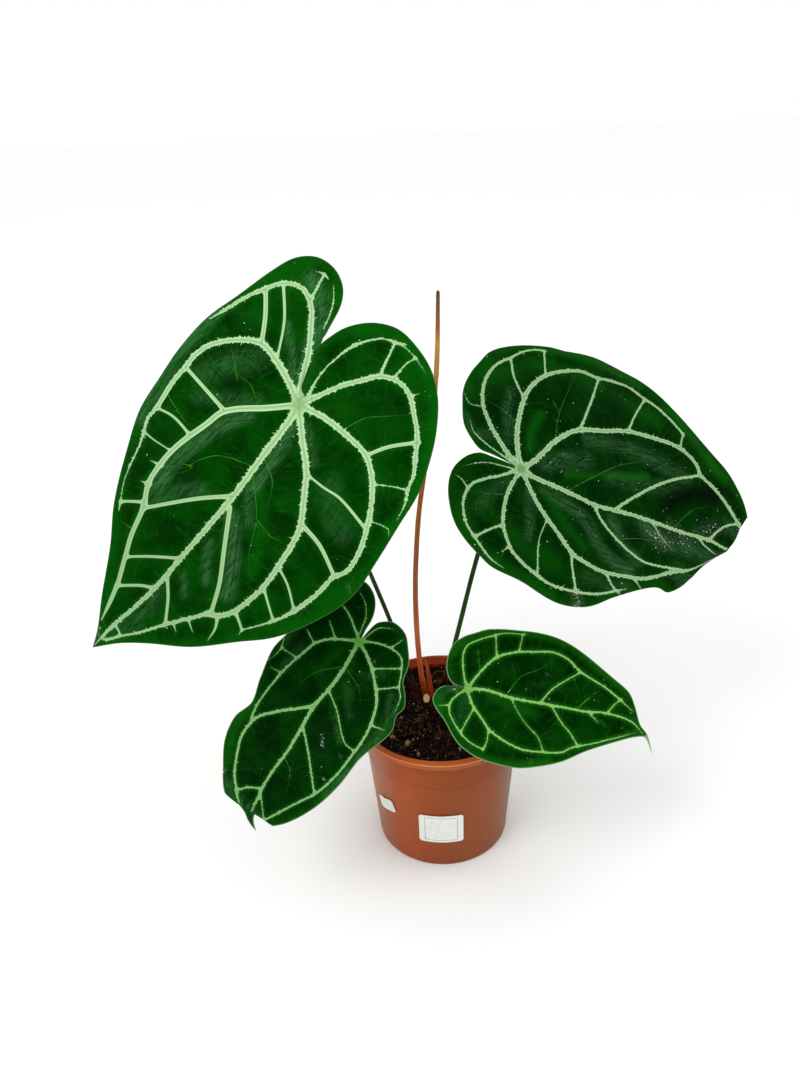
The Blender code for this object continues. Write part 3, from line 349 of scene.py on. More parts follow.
                (0.7, 0.4, [(0, 0), (-5, 10), (-8, 20), (-7, 27), (-2, 32), (8, 39), (15, 43), (28, 47)]),
                (0.9, 0.4, [(0, 0), (6, -9), (13, -15), (20, -21), (28, -24), (37, -26), (46, -26),
                            (66, -21), (72, -16), (85, -9), (110, 6)]),
                (0.7, 0.45, [(0, 0), (-6, -7), (-8, -13), (-6, -19), (3, -28), (10, -32), (19, -34)]),
                (0.55, 0.5, [(47, 6), (52, 16), (59, 24), (67, 32)]),
                (0.55, 0.5, [(54, 6), (62, -2), (69, -7), (76, -14)]),
                (0.3, 0.3, [(29, 2), (36, -6), (42, -11), (50, -16), (55, -23)]),
                (0.45, 0.45, [(7, -11), (5, -19), (3, -28)]),
                (0.45, 0.4, [(19, -21), (20, -28), (19, -34)]),
                (0.5, 0.45, [(13, 25), (9, 39)]),
                (0.45, 0.4, [(26, 34), (26, 46)]),
                (0.45, 0.4, [(90, 13), (93, 19), (97, 24)]),
                (0.3, 0.3, [(-8, -13), (-16, -16)]),
                (0.4, 0.3, [(78, 9), (85, 5)])],
        faint=[[(25, 4), (31, 18), (41, 26), (49, 36)], [(5, 13), (1, 24), (-2, 31)], [(70, 9), (76, 18),
               (85, 28)]],
        painted_sheen=[(6, 1.0, [(1, -7), (1, -14), (-1, -20)]), (5, 0.9, [(-12, -4), (-15, -11)]),
               (4, 0.5, [(106, 14), (112, 8)]), (4, 0.35, [(40, 16), (60, 18)])],
        glow=[(6, 1.0, [(-16, -10), (-10, -24), (4, -37), (22, -40), (40, -38), (60, -30)]),
              (5, 0.8, [(-14, 20), (-8, 34), (6, 42), (28, 48), (44, 50), (64, 46), (86, 36), (102, 28)]),
              (6, 0.5, [(14, 1), (30, -2), (44, -2)])],
        shade=[(0.9, 0.9, [(-2, 0.2), (-8, -0.4), (-14, -1.6)])],
        dust=[(2.2, 1.0, [(-6, -2.6), (-9, -3)]), (1.2, 0.8, [(48, -32), (50, -32)]), (1.0, 0.7, [(46, 24),
              (48, 24)])],
    ),
}

# Stalks
LEAF_STALKS = {
    "leaf_1": dict(route=[(-13.6, 15.2, 95.4), (-14.6, 15.6, 104), (-21, 18.8, 122), (-32, 28, 157),
                          (-44.5, 38, 191), (-58, 43, 231), (-69, 42, 270), (-77, 35, 302)],
                   radius=(1.35, 1.6)),
    "leaf_2": dict(route=[(4.4, 33.3, 95.4), (5, 33.6, 103), (8, 35.6, 112), (13.6, 38.8, 131),
                          (30.3, 44, 199), (42, 45, 236)], radius=(1.9, 1.5)),
    "leaf_3": dict(route=[(-13.6, 11.6, 95.4), (-14.8, 11, 103), (-21, 8, 119), (-30, 3, 146)],
                   radius=(1.3, 1.4)),
    "leaf_4": dict(route=[(7.5, 28.5, 95.4), (7.9, 25.5, 103), (9, 10, 118), (10.5, -20, 131)],
                   radius=(1.9, 1.4)),
}
KNUCKLE_LENGTH = 12.0
KNUCKLE_SWELLING = 0.45
STALK_STEP = 1.5
STALK_SIDES = 24
FLOWER_ROUTE = [(-9.6, 15.8, 95.4), (-10.4, 17.8, 104), (-12.4, 22, 119), (-14, 27, 148), (-13.9, 34, 180),
                (-11.8, 42, 210), (-9, 50, 233), (-3.4, 60, 262), (3.5, 71, 300), (5.6, 75, 318)]
FLOWER_RADIUS = (2.0, 1.5)
SPADIX_ROUTE = [(5.6, 75, 318), (7, 78.5, 338), (8.4, 85, 372)]
SPADIX_RADIUS = (1.8, 1.15)
SPADIX_TIP_START = 0.965
STUB_BASE = (-9.3, 9.6, 97.4)
STUB_TOP = (-9.3, 8.4, 104.5)
STUB_RADIUS = 2.2
STUB_SLANT = 0.8
SHEATH_ROUTE = [(-6.0, 13.0, 97.0), (-6.0, 14.2, 106), (-7.2, 15.2, 120), (-9.2, 15.2, 133.0)]
SHEATH_RADIUS = 2.2
SHEATH_POINT = 0.35

# Labels: place around the pot, height of the middle, width, height, lean, and depth of a nick on top
LABELS = {
    "label_front": dict(piece="front_label", angle=-4, middle=37, width=30.5, tall=26, lean=0, nick=0),
    "label_small": dict(piece="side_sticker", angle=-53, middle=44.4, width=16.4, tall=10, lean=17,
                        nick=1.0),
}
LABEL_CORNER = 1.2
LABEL_CORNER_CUT = 0.55
LABEL_LIFT = 0.1
PAPER = 0.25
FRAME_MARGINS = (4.2, 2.1)

# Camera: the photograph is 800 by 1065 pixels, and RIM_PIXEL is the middle of the pot's rim in it
PHOTO = (800, 1065)
LENS_PIXELS = 1000.0
ELEVATION = 28.5
ROLL = -2.5
DISTANCE = 696.0
RIM_PIXEL = (440.3, 704.6)
SENSOR = 36

# Looks of the four leaves: colours by name, how wide or strong each trait is, and the size of its pattern
LOOKS = {
    "leaf_1": dict(
        deep="002700", mid="013e01", margin="065405", band=9.0, band_share=0.55, glow="0e520c", halo=3.0,
        halo_share=0.35, rays=0.5, painted_sheen="447a48", painted_sheen_share=0.75, brush=(0.1, 0.6, 1.0), swirl=0.5,
        net=0.05, thread="3c8a24", silver="b2daa2", silver_dim="86ac78", fade=0.75, heart="88b66c",
        heart_size=7.0, line="809a6c", line_share=0.6, rim="486a40", rim_share=0.5, spur_gap=2.6,
        specks=0.14),
    "leaf_2": dict(
        deep="001e01", mid="022e03", margin="0a4e05", band=8.0, band_share=0.5, glow="08440a", halo=2.5,
        halo_share=0.3, rays=0.4, painted_sheen="3c683e", painted_sheen_share=0.68, brush=(0.07, 0.5, 1.0), swirl=1.4,
        net=0.04, thread="3c7c2c", silver="9abc8c", silver_dim="86a87a", fade=0.0, heart="62904a",
        heart_size=4.0, line="688c58", line_share=0.8, rim="38602f", rim_share=0.4, spur_gap=2.6,
        specks=0.6, dry_tip=(167, -13)),
    "leaf_3": dict(
        deep="001c01", mid="022f02", margin="0a4e08", band=7.0, band_share=0.45, glow="0e500c", halo=2.2,
        halo_share=0.5, rays=0.35, painted_sheen="346832", painted_sheen_share=0.7, brush=(0.12, 0.5, 1.0), swirl=0.4,
        net=0.03, thread="307e20", silver="90be80", silver_dim="6c9c5a", fade=0.6, heart="5a983c",
        heart_size=9.0, line="588e44", line_share=0.7, rim="7aa070", rim_share=0.6, spur_gap=2.8,
        specks=0.14),
    "leaf_4": dict(
        deep="001e00", mid="023402", margin="105408", band=7.0, band_share=0.4, glow="165c0e", halo=2.6,
        halo_share=0.6, rays=0.35, painted_sheen="205028", painted_sheen_share=0.85, brush=(0.12, 0.5, 1.0), swirl=0.4,
        net=0.03, thread="348620", silver="86be68", silver_dim="74ac5a", fade=0.0, heart="6aa44c",
        heart_size=8.0, line="6cac50", line_share=0.5, rim="88b078", rim_share=0.7, spur_gap=2.8,
        specks=0.4),
}

# Skins of the stalks: colours by height, then the stretch, range, share and colour of the lines along them,
# then the scale, roughness, range, share and colour of the mottling, then the relief and its strength
STALK_MARKS = dict(stretch=(26, 5, 1), grain=(0.3, 0.72, 0.45, "1b1408"),
                   mottle=(0.12, 0.55, 0.45, 0.75, 0.15, "6a6a34"), relief=(0.15, 0.5),
                   roughness=(0.42, 0.6))
SKINS = {
    "olive stalk": dict(stops=[(98, "4e120a"), (124, "200a06"), (190, "36481a")], **STALK_MARKS),
    "dark green stalk": dict(stops=[(100, "5a1408"), (122, "345a1c"), (220, "123408")], **STALK_MARKS),
    "dry flower stalk": dict(
        stops=[(96, "901c04"), (106, "c03c12"), (118, "dc6432"), (150, "dc7848"), (168, "b86c40"),
               (196, "a05c30"), (238, "ac6632"), (285, "ca8046"), (312, "c88c42"), (338, "b88e40"),
               (352, "8d5430"), (372, "4a4018")],
        stretch=(22, 6, 1), grain=(0.35, 0.75, 0.3, "7a3214"), mottle=(0.3, 0.6, 0.5, 0.75, 0.3, "d89a62"),
        relief=(0.12, 0.5)),
    "dry red sheath": dict(
        stops=[(99, "901e06"), (112, "bc3c12"), (118, "bc3c12"), (131, "c4602e")],
        stretch=(18, 3, 1), grain=(0.4, 0.7, 0.45, "d06a34"), mottle=(0.4, 0.6, 0.5, 0.75, 0.4, "5a1205"),
        relief=(0.2, 0.6), specular=0.15),
}


# Small tools

def deselect():
    bpy.ops.object.select_all(action="DESELECT")


def only(made):
    deselect()
    made.select_set(True)
    bpy.context.view_layer.objects.active = made


def link(name, data):
    made = bpy.data.objects.new(name, data)
    bpy.context.scene.collection.objects.link(made)
    return made


def new_mesh_object(name, points, faces):
    """A mesh object at the origin, from points in millimetres."""
    mesh = bpy.data.meshes.new(name)
    places = [tuple(place) for place in np.asarray(points, float) * MM]
    mesh.from_pydata(places, [], [tuple(int(corner) for corner in face) for face in faces])
    mesh.validate()
    return link(name, mesh)


def point_values(mesh, name, kind, channel, values):
    """Keeps one value, vector or colour for each point of a mesh."""
    attribute = mesh.attributes.new(name, kind, "POINT")
    attribute.data.foreach_set(channel, np.asarray(values, np.float32).ravel())


def unwrap(mesh, name, flat):
    """A UV map that gives each point of a mesh its place in flat."""
    corners = np.zeros(len(mesh.loops), np.int32)
    mesh.loops.foreach_get("vertex_index", corners)
    sheet = mesh.uv_layers.new(name=name)
    sheet.data.foreach_set("uv", np.asarray(flat)[corners].astype(np.float32).ravel())


def smooth_by_angle(made, angle):
    only(made)
    bpy.ops.object.shade_smooth_by_angle(angle=math.radians(angle))


def turn_outwards(made):
    only(made)
    bpy.ops.object.mode_set(mode="EDIT")
    bpy.ops.mesh.select_all(action="SELECT")
    bpy.ops.mesh.normals_make_consistent(inside=False)
    bpy.ops.object.mode_set(mode="OBJECT")


def put(made, nodes, slot, *finishes):
    """Gives a piece its materials and its place on the body, and hides the nodes it stands for."""
    made.data.materials.clear()
    for finish in finishes:
        made.data.materials.append(finish)
    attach(made, "root")
    if nodes:
        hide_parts(*nodes)
    return made


def runs_along(way):
    """Distance run along a way at each of its points."""
    return np.concatenate([[0], np.cumsum(np.linalg.norm(np.diff(way, axis=0), axis=1))])


def smooth_way(points, step):
    """Points every step along a smooth curve through the given ones, as an array."""
    given = np.array(points, float)
    ends = np.vstack([2 * given[0] - given[1], given, 2 * given[-1] - given[-2]])
    t = np.linspace(0, 1, 12, endpoint=False)[:, None]
    fine = []
    for before, start, end, after in zip(ends, ends[1:], ends[2:], ends[3:]):
        span = np.linalg.norm(end - start)
        slope_in = (end - before) * span / (np.linalg.norm(start - before) + span)
        slope_out = (after - start) * span / (span + np.linalg.norm(after - end))
        fine.append((2 * t**3 - 3 * t**2 + 1) * start + (t**3 - 2 * t**2 + t) * slope_in
                    + (3 * t**2 - 2 * t**3) * end + (t**3 - t**2) * slope_out)
    fine = np.vstack([*fine, given[-1:]])
    along = runs_along(fine)
    stops = np.linspace(0, along[-1], max(2, round(along[-1] / step) + 1))
    return np.stack([np.interp(stops, along, column) for column in fine.T], axis=1)


def eased(value, low, high):
    """0 at low and 1 at high, with soft ends."""
    t = np.clip((value - low) / (high - low), 0, 1)
    return t * t * (3 - 2 * t)


def bell(value, reach):
    """1 at zero, falling off softly over about this reach."""
    return np.exp(-(value / reach)**2)


# Material nodes

def paint(code):
    """Linear colour from six hex digits."""
    parts = [int(code[i:i + 2], 16) / 255 for i in (0, 2, 4)]
    return (*[p / 12.92 if p <= 0.04045 else ((p + 0.055) / 1.055)**2.4 for p in parts], 1)


class Wire:
    """One output of a material node, for use in plain arithmetic."""

    def __init__(self, finish, socket):
        self.finish = finish
        self.socket = socket

    def __add__(self, other):
        return self.finish.math("ADD", self, other)

    def __sub__(self, other):
        return self.finish.math("SUBTRACT", self, other)

    def __rsub__(self, other):
        return self.finish.math("SUBTRACT", other, self)

    def __mul__(self, other):
        return self.finish.math("MULTIPLY", self, other)

    def __truediv__(self, other):
        return self.finish.math("DIVIDE", self, other)

    def __abs__(self):
        return self.finish.math("ABSOLUTE", self)

    def at_least(self, other):
        return self.finish.math("MAXIMUM", self, other)


class Finish:
    """A Principled material under construction, with the colour laid on so far."""

    def __init__(self, name, roughness=0.5, specular=0.5):
        self.material = bpy.data.materials.new(name)
        self.material.use_nodes = True
        self.tree = self.material.node_tree
        self.shader = self.tree.nodes["Principled BSDF"]
        self.colour = None
        self.set(Roughness=roughness, Specular_IOR_Level=specular)

    def feed(self, socket, value):
        if isinstance(value, Wire):
            self.tree.links.new(value.socket, socket)
        else:
            socket.default_value = paint(value) if isinstance(value, str) else value

    def set(self, **sockets):
        for key, value in sockets.items():
            self.feed(self.shader.inputs[key.replace("_", " ")], value)

    def node(self, kind, inputs, output=0, **settings):
        """A node with these inputs and settings. Gives one output, or each that is named in a tuple."""
        made = self.tree.nodes.new(kind)
        for key, value in settings.items():
            setattr(made, key, value)
        for key, value in inputs.items():
            self.feed(made.inputs[key], value)
        if isinstance(output, tuple):
            return [Wire(self, made.outputs[key]) for key in output]
        return Wire(self, made.outputs[output])

    def math(self, operation, first, second=0.0):
        return self.node("ShaderNodeMath", {0: first, 1: second}, operation=operation)

    def vector(self, operation, first, second=(0, 0, 0), output=0):
        return self.node("ShaderNodeVectorMath", {0: first, 1: second}, output, operation=operation)

    def stretched(self, vector, x, y, z):
        return self.vector("MULTIPLY", vector, (x, y, z))

    def scaled(self, vector, factor):
        return self.node("ShaderNodeVectorMath", {0: vector, "Scale": factor}, operation="SCALE")

    def split(self, vector):
        return self.node("ShaderNodeSeparateXYZ", {0: vector}, (0, 1, 2))

    def joined(self, x, y, z=0.0):
        return self.node("ShaderNodeCombineXYZ", {0: x, 1: y, 2: z})

    def place(self):
        """Position on the object, in millimetres."""
        return self.scaled(self.node("ShaderNodeTexCoord", {}, "Object"), 1 / MM)

    def uv(self, name):
        return self.node("ShaderNodeUVMap", {}, uv_map=name)

    def plan(self):
        """Position on the flat blade, in millimetres."""
        return self.scaled(self.uv("plan"), PLAN_UNIT)

    def attribute(self, name, output):
        return self.node("ShaderNodeAttribute", {}, output, attribute_name=name)

    def fields(self, name):
        """The three numbers kept under one name at each point."""
        return self.split(self.attribute(name, "Vector"))

    def ease(self, value, low, high, start=0.0, end=1.0):
        return self.node("ShaderNodeMapRange", {0: value, 1: low, 2: high, 3: start, 4: end},
                         interpolation_type="SMOOTHSTEP")

    def noise(self, vector, scale, detail=2.0, roughness=0.5, distortion=0.0, output=0):
        return self.node("ShaderNodeTexNoise", {"Vector": vector, "Scale": scale, "Detail": detail,
                                                "Roughness": roughness, "Distortion": distortion}, output)

    def cells(self, inputs, **settings):
        """Distance to the middle of a seeded cell, and a random number for the cell."""
        distance, colour = self.node("ShaderNodeTexVoronoi", inputs, ("Distance", "Color"), **settings)
        return distance, self.split(colour)[0]

    def spots(self, vector, spacing, size, share, seed=0.0):
        """Seeded round specks of about this size, on a share of cells this far apart."""
        moved = self.vector("ADD", vector, (seed, seed * 1.7, seed * 0.6))
        distance, pick = self.cells({"Vector": moved, "Scale": 1 / spacing})
        near = self.ease(distance, size / spacing, 0.6 * size / spacing)
        return near * self.math("GREATER_THAN", pick, 1.0 - share)

    def blend(self, share, first, second):
        return self.node("ShaderNodeMix", {0: share, 6: first, 7: second}, 2, data_type="RGBA")

    def coat(self, share, colour):
        """Lays a colour over the one so far, in this share."""
        self.colour = self.blend(share, self.colour, colour)

    def climb(self, height, stops):
        """Starts from colours that follow one another with height."""
        self.colour = stops[0][1]
        for (start, _), (end, code) in zip(stops, stops[1:]):
            self.coat(self.ease(height, start, end), code)

    def bump(self, height, distance, strength=1.0):
        sockets = {"Height": height, "Distance": distance * MM, "Strength": strength}
        self.set(Normal=self.node("ShaderNodeBump", sockets))

    def done(self, **sockets):
        self.set(Base_Color=self.colour, **sockets)
        return self.material


# Leaf materials

def spurs(made, lean, hand, half, gap, keep, share, least, base, start):
    """Thin spurs, one about every gap along a vein, left out where the cell's number is below keep."""
    distance, pick = made.cells({"W": hand * start + lean / gap, "Scale": 1.0}, voronoi_dimensions="1D")
    length = made.ease(pick, keep, 1.0) * (half * share + least)
    return (1.0 - distance * (gap / base)).at_least(0.0) * length


def silver_share(made, run, side, edge, half, spur_gap):
    """Where the silver lies, with fine teeth on its edge, and thin spurs that lean outwards."""
    hand = made.math("SIGN", side)
    tooth = made.noise(made.joined(run * 0.5, side * 0.15, hand * 9.0), 1.0, 4, 0.8)
    tooth = (tooth - 0.51) * (half * 1.4 + 1.0)
    lean = run - abs(side) * 0.3
    short = spurs(made, lean, hand, half, spur_gap, 0.25, 0.34, 0.3, 0.6, 50.0)
    long = spurs(made, lean, hand, half, 7.5, 0.6, 0.8, 0.9, 0.32, 90.0)
    return made.ease(edge - tooth - short.at_least(long), 0.1, -0.25)


def silver_colour(made, look, plan, run, side, half):
    """Silver that is greyer along its middle and towards the tip, with a thin dull line in it."""
    dim = look["silver_dim"]
    inner = abs(side) / half.at_least(0.4)
    pale = made.blend(made.ease(inner, 0.0, 0.7, 0.35, 1.0), dim, look["silver"])
    streak = made.noise(made.joined(run * 0.25, side * 2.4), 1.0, 3, 0.6)
    pale = made.blend(made.ease(streak, 0.4, 0.7, 0.0, 0.6), pale, dim)
    pale = made.blend(made.ease(made.split(plan)[0], 10, 150, 0.0, look["fade"]), pale, dim)
    reach = made.vector("LENGTH", plan, output="Value")
    pale = made.blend(made.ease(reach, look["heart_size"], 1.5, 0.0, 0.9), pale, look["heart"])
    line = made.ease(abs(side), 0.34, 0.1) * made.ease(half, 0.8, 1.4, 0.0, look["line_share"])
    return made.blend(line, pale, look["line"])


def lay_velvet(made, look, plan, run, side, edge, margin, glow):
    """Velvet green between the veins, lighter at the margin and beside the silver, with a faint net."""
    low = made.noise(plan, 0.045, 2, 0.5)
    made.colour = made.blend(made.ease(low, 0.36, 0.66), look["deep"], look["mid"])
    made.coat(made.ease(made.noise(plan, 0.5, 4, 0.6), 0.35, 0.75, 0.0, 0.4), look["deep"])
    wander = made.noise(plan, 0.06, 2, 0.5) * 10.0 - 5.0
    made.coat(made.ease(margin + wander, look["band"], 0.0, 0.0, look["band_share"]), look["margin"])
    made.coat(made.ease(edge, look["halo"], 0.0, 0.0, look["halo_share"]), look["glow"])
    rays = made.noise(made.joined(run * 0.42, side * 0.05), 1.0, 4, 0.7, 0.3)
    made.coat(made.ease(rays, 0.52, 0.7, 0.0, look["rays"]), look["glow"])
    made.coat(made.ease(rays, 0.48, 0.3, 0.0, look["rays"]), look["deep"])
    made.coat(glow * made.ease(low, 0.2, 0.6, 0.4, 0.9), look["margin"])
    bent = made.scaled(made.noise(plan, 0.09, 3.0, output="Color"), 14)
    net = made.node("ShaderNodeTexVoronoi", {"Vector": made.vector("ADD", bent, plan), "Scale": 0.105},
                    feature="DISTANCE_TO_EDGE")
    made.coat(made.ease(net, 0.04, 0.005) * made.ease(low, 0.62, 0.4, 0.03, look["net"]), look["thread"])


def lay_painted_sheen(made, look, plan, run, side, painted_sheen):
    """Painted grey-green sheen in brushed streaks."""
    brush = made.noise(made.stretched(plan, *look["brush"]), 1.0, 6, 0.72, look["swirl"])
    streaks = made.noise(made.joined(run * 0.06, side * 0.8), 1.0, 3, 0.6, 0.8)
    share = made.ease(brush * 0.55 + streaks * 0.45, 0.4, 0.63, 0.06, 1.0)
    made.coat(painted_sheen * share * look["painted_sheen_share"], look["painted_sheen"])


def lay_dust(made, look, plan, dust):
    """Haze and grains where dust is, and a few specks all over."""
    grit = dust * made.ease(made.noise(plan, 0.9, 4, 0.75), 0.48, 0.68, 0.0, 0.4)
    sown = dust * made.ease(made.noise(plan, 0.3, 3, 0.7), 0.44, 0.6, 0.04, 1.0)
    grains = [made.spots(plan, 0.8, 0.42, sown * 0.34, 2.0), made.spots(plan, 2.1, 0.55, sown * 0.2, 7.0),
              made.spots(plan, 9.0, 0.46, look["specks"]) * 0.85,
              made.spots(plan, 3.6, 0.3, look["specks"] * 0.5, 3.0) * 0.85]
    for grain in grains:
        grit = grit.at_least(grain)
    made.coat(grit, "c8d8c4")


def leaf_upper_finish(name, look):
    made = Finish(name, specular=0.01)
    plan = made.plan()
    run, side, edge = made.fields("vein")
    thread, thread_share, margin = made.fields("blade")
    painted_sheen, glow, dust = made.fields("mark")
    half = (abs(side) - edge).at_least(0.0)
    silver = silver_share(made, run, side, edge, half, look["spur_gap"])
    lay_velvet(made, look, plan, run, side, edge, margin, glow)
    # painted sheen: grey-green streaks laid where the sheen strokes lie
    lay_painted_sheen(made, look, plan, run, side, painted_sheen)
    broken = made.ease(made.noise(plan, 0.2, 2, 0.5), 0.3, 0.6, 0.45, 1.0)
    made.coat(made.ease(abs(thread), 0.36, 0.06, 0.0, 0.8) * thread_share * broken, look["thread"])
    made.coat(silver, silver_colour(made, look, plan, run, side, half))
    # a pale line along the very edge of the blade, painted as an edge highlight
    made.coat(made.ease(margin, 0.8, 0.1, 0.0, look["rim_share"]), look["rim"])
    if "dry_tip" in look:
        reach = made.vector("DISTANCE", plan, (*look["dry_tip"], 0), "Value")
        made.coat(made.ease(made.noise(plan, 0.5, 3, 0.6) * 3.0 + reach, 6.5, 4.0, 0.0, 0.9), "6d4a2c")
    lay_dust(made, look, plan, dust)
    shade = made.attribute("shade", "Fac")
    made.coat(shade * (1.0 - silver * made.ease(shade, 0.95, 0.85)), "010801")
    made.bump(made.noise(plan, 3.2, 3, 0.6) * 0.5 + made.noise(plan, 0.7, 2, 0.5), 0.12, 0.5)
    return made.done(Roughness=made.ease(silver, 0.0, 1.0, 0.5, 0.62))


def leaf_under_finish(name):
    """Paler green, with pale ribs under the veins."""
    made = Finish(name, roughness=0.55, specular=0.25)
    plan = made.plan()
    edge = made.fields("vein")[2]
    thread, thread_share, _ = made.fields("blade")
    made.colour = made.blend(made.ease(made.noise(plan, 0.07, 3, 0.55), 0.3, 0.7), "3d7a40", "2a6230")
    made.coat(made.ease(made.noise(plan, 1.4, 3, 0.6), 0.35, 0.7, 0.0, 0.3), "1f4c27")
    made.coat(made.ease(edge, 1.0, -0.6, 0.0, 0.85), "8fba7c")
    made.coat(made.ease(abs(thread), 0.8, 0.1, 0.0, 0.6) * thread_share, "8fba7c")
    made.bump(made.noise(plan, 2.2, 3, 0.6), 0.15, 0.5)
    return made.done()


def leaf_rim_finish(name, colour):
    made = Finish(name, specular=0.2)
    # the blade's thin edge faces in the pale rim colour, a painted edge highlight, mixed with green
    made.colour = made.blend(made.ease(made.noise(made.place(), 0.3, 3, 0.6), 0.3, 0.7), colour, "2c5c22")
    return made.done()


# Leaf shapes, repeated from the part

def bowed(leaf, points):
    """Height of the blade above its own plane."""
    x, y = points.T
    height = leaf["fold"] * (np.sqrt(y**2 + 36) - 6) - leaf["arch"] * y**2 / 1000
    height -= leaf["droop"] * np.maximum(x, 0)**2 / 1000 + leaf["lobe_droop"] * np.minimum(x, 0)**2 / 1000
    start = np.radians(np.where(y > 0, *leaf["wave_start"]))
    reach = np.abs(y / leaf["half_width"])**WAVE_REACH
    return height + leaf["wave"] * reach * np.sin(math.tau * x / leaf["wave_length"] + start)


def shaped(leaf, points):
    """Places of flat points on the bowed blade, rolled under beyond the start of its curl."""
    height = bowed(leaf, points)
    place = np.column_stack([points, height])
    curl = leaf["curl"]
    if curl is None:
        return place
    angle, radius = math.radians(curl["angle"]), curl["radius"]
    ahead = np.array([math.cos(angle), math.sin(angle), 0])
    across = points @ [-ahead[1], ahead[0]]
    bulge = curl["bulge"] * bell(across - curl["bulge_place"], curl["bulge_width"])
    past = np.maximum(points @ ahead[:2] - curl["start"] - bulge, 0)
    turn = np.minimum(past / radius, math.radians(curl["turn"]))
    straight = past - turn * radius
    forward = radius * np.sin(turn) + straight * np.cos(turn) - past + height * np.sin(turn)
    down = radius * (1 - np.cos(turn)) + straight * np.sin(turn) + height * (1 - np.cos(turn))
    return place + forward[:, None] * ahead - down[:, None] * np.array([0, 0, 1])


def leaf_turn(leaf):
    turns = [Matrix.Rotation(math.radians(leaf[key]), 3, axis)
             for key, axis in (("heading", "Z"), ("pitch", "Y"), ("roll", "X"))]
    return turns[0] @ turns[1] @ turns[2]


def closest(points, line):
    """Distance from each point to a line, how far along it lies, and on which side."""
    best = np.full(len(points), 1e9)
    along = np.zeros(len(points))
    side = np.ones(len(points))
    travelled = 0.0
    for start, end in zip(line, line[1:]):
        step = end - start
        length = math.hypot(*step)
        offset = points - start
        t = np.clip((offset @ step) / length**2, 0, 1)
        distance = np.hypot(offset[:, 0] - t * step[0], offset[:, 1] - t * step[1])
        nearer = distance < best
        best[nearer] = distance[nearer]
        along[nearer] = travelled + t[nearer] * length
        turn = step[0] * offset[:, 1] - step[1] * offset[:, 0]
        side[nearer] = np.sign(turn[nearer])
        travelled += length
    return best, along, side


def inside(points, ring):
    crossed = np.zeros(len(points), bool)
    for (x1, y1), (x2, y2) in zip(ring, np.roll(ring, -1, axis=0)):
        spans = (y1 > points[:, 1]) != (y2 > points[:, 1])
        with np.errstate(divide="ignore", invalid="ignore"):
            crossing = (x2 - x1) * (points[:, 1] - y1) / (y2 - y1) + x1
        crossed ^= spans & (points[:, 0] < crossing)
    return crossed


def leaf_plan(leaf, lines):
    """The flat blade in small triangles, with a row of points along every vein."""
    left, right = [smooth_way(leaf[key], FINE_STEP) for key in ("left", "right")]
    margin = np.vstack([right[:-1], left[:0:-1]])
    ring = np.vstack([margin, margin[:1]])
    low, high = margin.min(axis=0), margin.max(axis=0)
    rows = np.arange(low[1], high[1], FINE_STEP * 0.866)
    grid = np.array([(x + (row % 2) * FINE_STEP / 2, y) for row, y in enumerate(rows)
                     for x in np.arange(low[0], high[0], FINE_STEP)])
    free = inside(grid, margin) & (closest(grid, ring)[0] > 0.6 * FINE_STEP)
    points, edges = list(margin), []
    for line in lines:
        free &= closest(grid, line)[0] > 0.6 * FINE_STEP
        spots = np.flatnonzero(inside(line, margin) & (closest(line, ring)[0] > 0.8))
        for first, second in zip(spots, spots[1:]):
            if second == first + 1:
                edges.append((len(points), len(points) + 1))
                points += [line[first], line[second]]
    points += list(grid[free])
    result = delaunay_2d_cdt([Vector(p) for p in points], edges, [list(range(len(margin)))], 1, 0.15)
    return np.array([tuple(p) for p in result[0]]), [list(face) for face in result[2]], ring


def vein_fields(leaf, points, lines):
    """Run along the nearest silver vein, side of it and gap to its silver, by point."""
    edge = np.full(len(points), 1e9)
    run, side, shares = [np.zeros(len(points)) for _ in range(3)]
    for number, (line, (start, end, way)) in enumerate(zip(lines, leaf["silver"])):
        distance, along, turn = closest(points, line)
        length = runs_along(line)[-1]
        half = leaf["vein_share"] * (start + (end - start) * along / length)
        if way[0] == (0, 0):
            half = half + leaf["half_width"] * HEART_SHARE * bell(along, HEART_REACH)
        others = [closest(line[-1:], other)[0][0] for other in lines if other is not line]
        if min(others) > VEIN_JOIN:
            taper = eased(length - along, -1, min(VEIN_TAPER, 0.45 * length))
            half = half * (VEIN_END_SHARE + (1 - VEIN_END_SHARE) * taper)
        shares += np.exp(-np.clip(distance - half, -5, 40) / VEIN_BLEND)
        nearer = distance - half < edge
        edge[nearer] = (distance - half)[nearer]
        run[nearer] = along[nearer] + VEIN_RUN_APART * number
        side[nearer] = (distance * turn)[nearer]
    return run, side, -VEIN_BLEND * np.log(shares)


def threads(leaf, lines, seed):
    """Thin veins that leave the silver ones, seeded, after the given longer ones, with their strength."""
    rng = random.Random(seed)
    ways = [(smooth_way(way, FINE_STEP), 1.0) for way in leaf["faint"]]
    for line, (start, _, _) in zip(lines, leaf["silver"]):
        if start < 0.65 or len(line) < 16:
            continue
        spot = rng.uniform(*THREAD_START)
        while spot < len(line) - 4:
            here = line[int(spot)]
            along = line[int(spot) + 1] - here
            along /= np.linalg.norm(along)
            for hand in (-1, 1):
                lean = hand * math.radians(rng.uniform(*THREAD_LEAN))
                length = rng.uniform(*THREAD_LENGTH)
                if rng.random() < THREAD_SHARE:
                    ahead = np.array([along[0] * math.cos(lean) - along[1] * math.sin(lean),
                                      along[0] * math.sin(lean) + along[1] * math.cos(lean)])
                    bend = rng.uniform(-THREAD_BEND, THREAD_BEND)
                    bend = np.array([-ahead[1], ahead[0]]) * bend * length
                    way = [here, here + ahead * length / 2 + bend, here + ahead * length]
                    ways.append((smooth_way(way, 2 * FINE_STEP), rng.uniform(*THREAD_STRENGTH)))
            spot += rng.uniform(*THREAD_APART)
    return ways


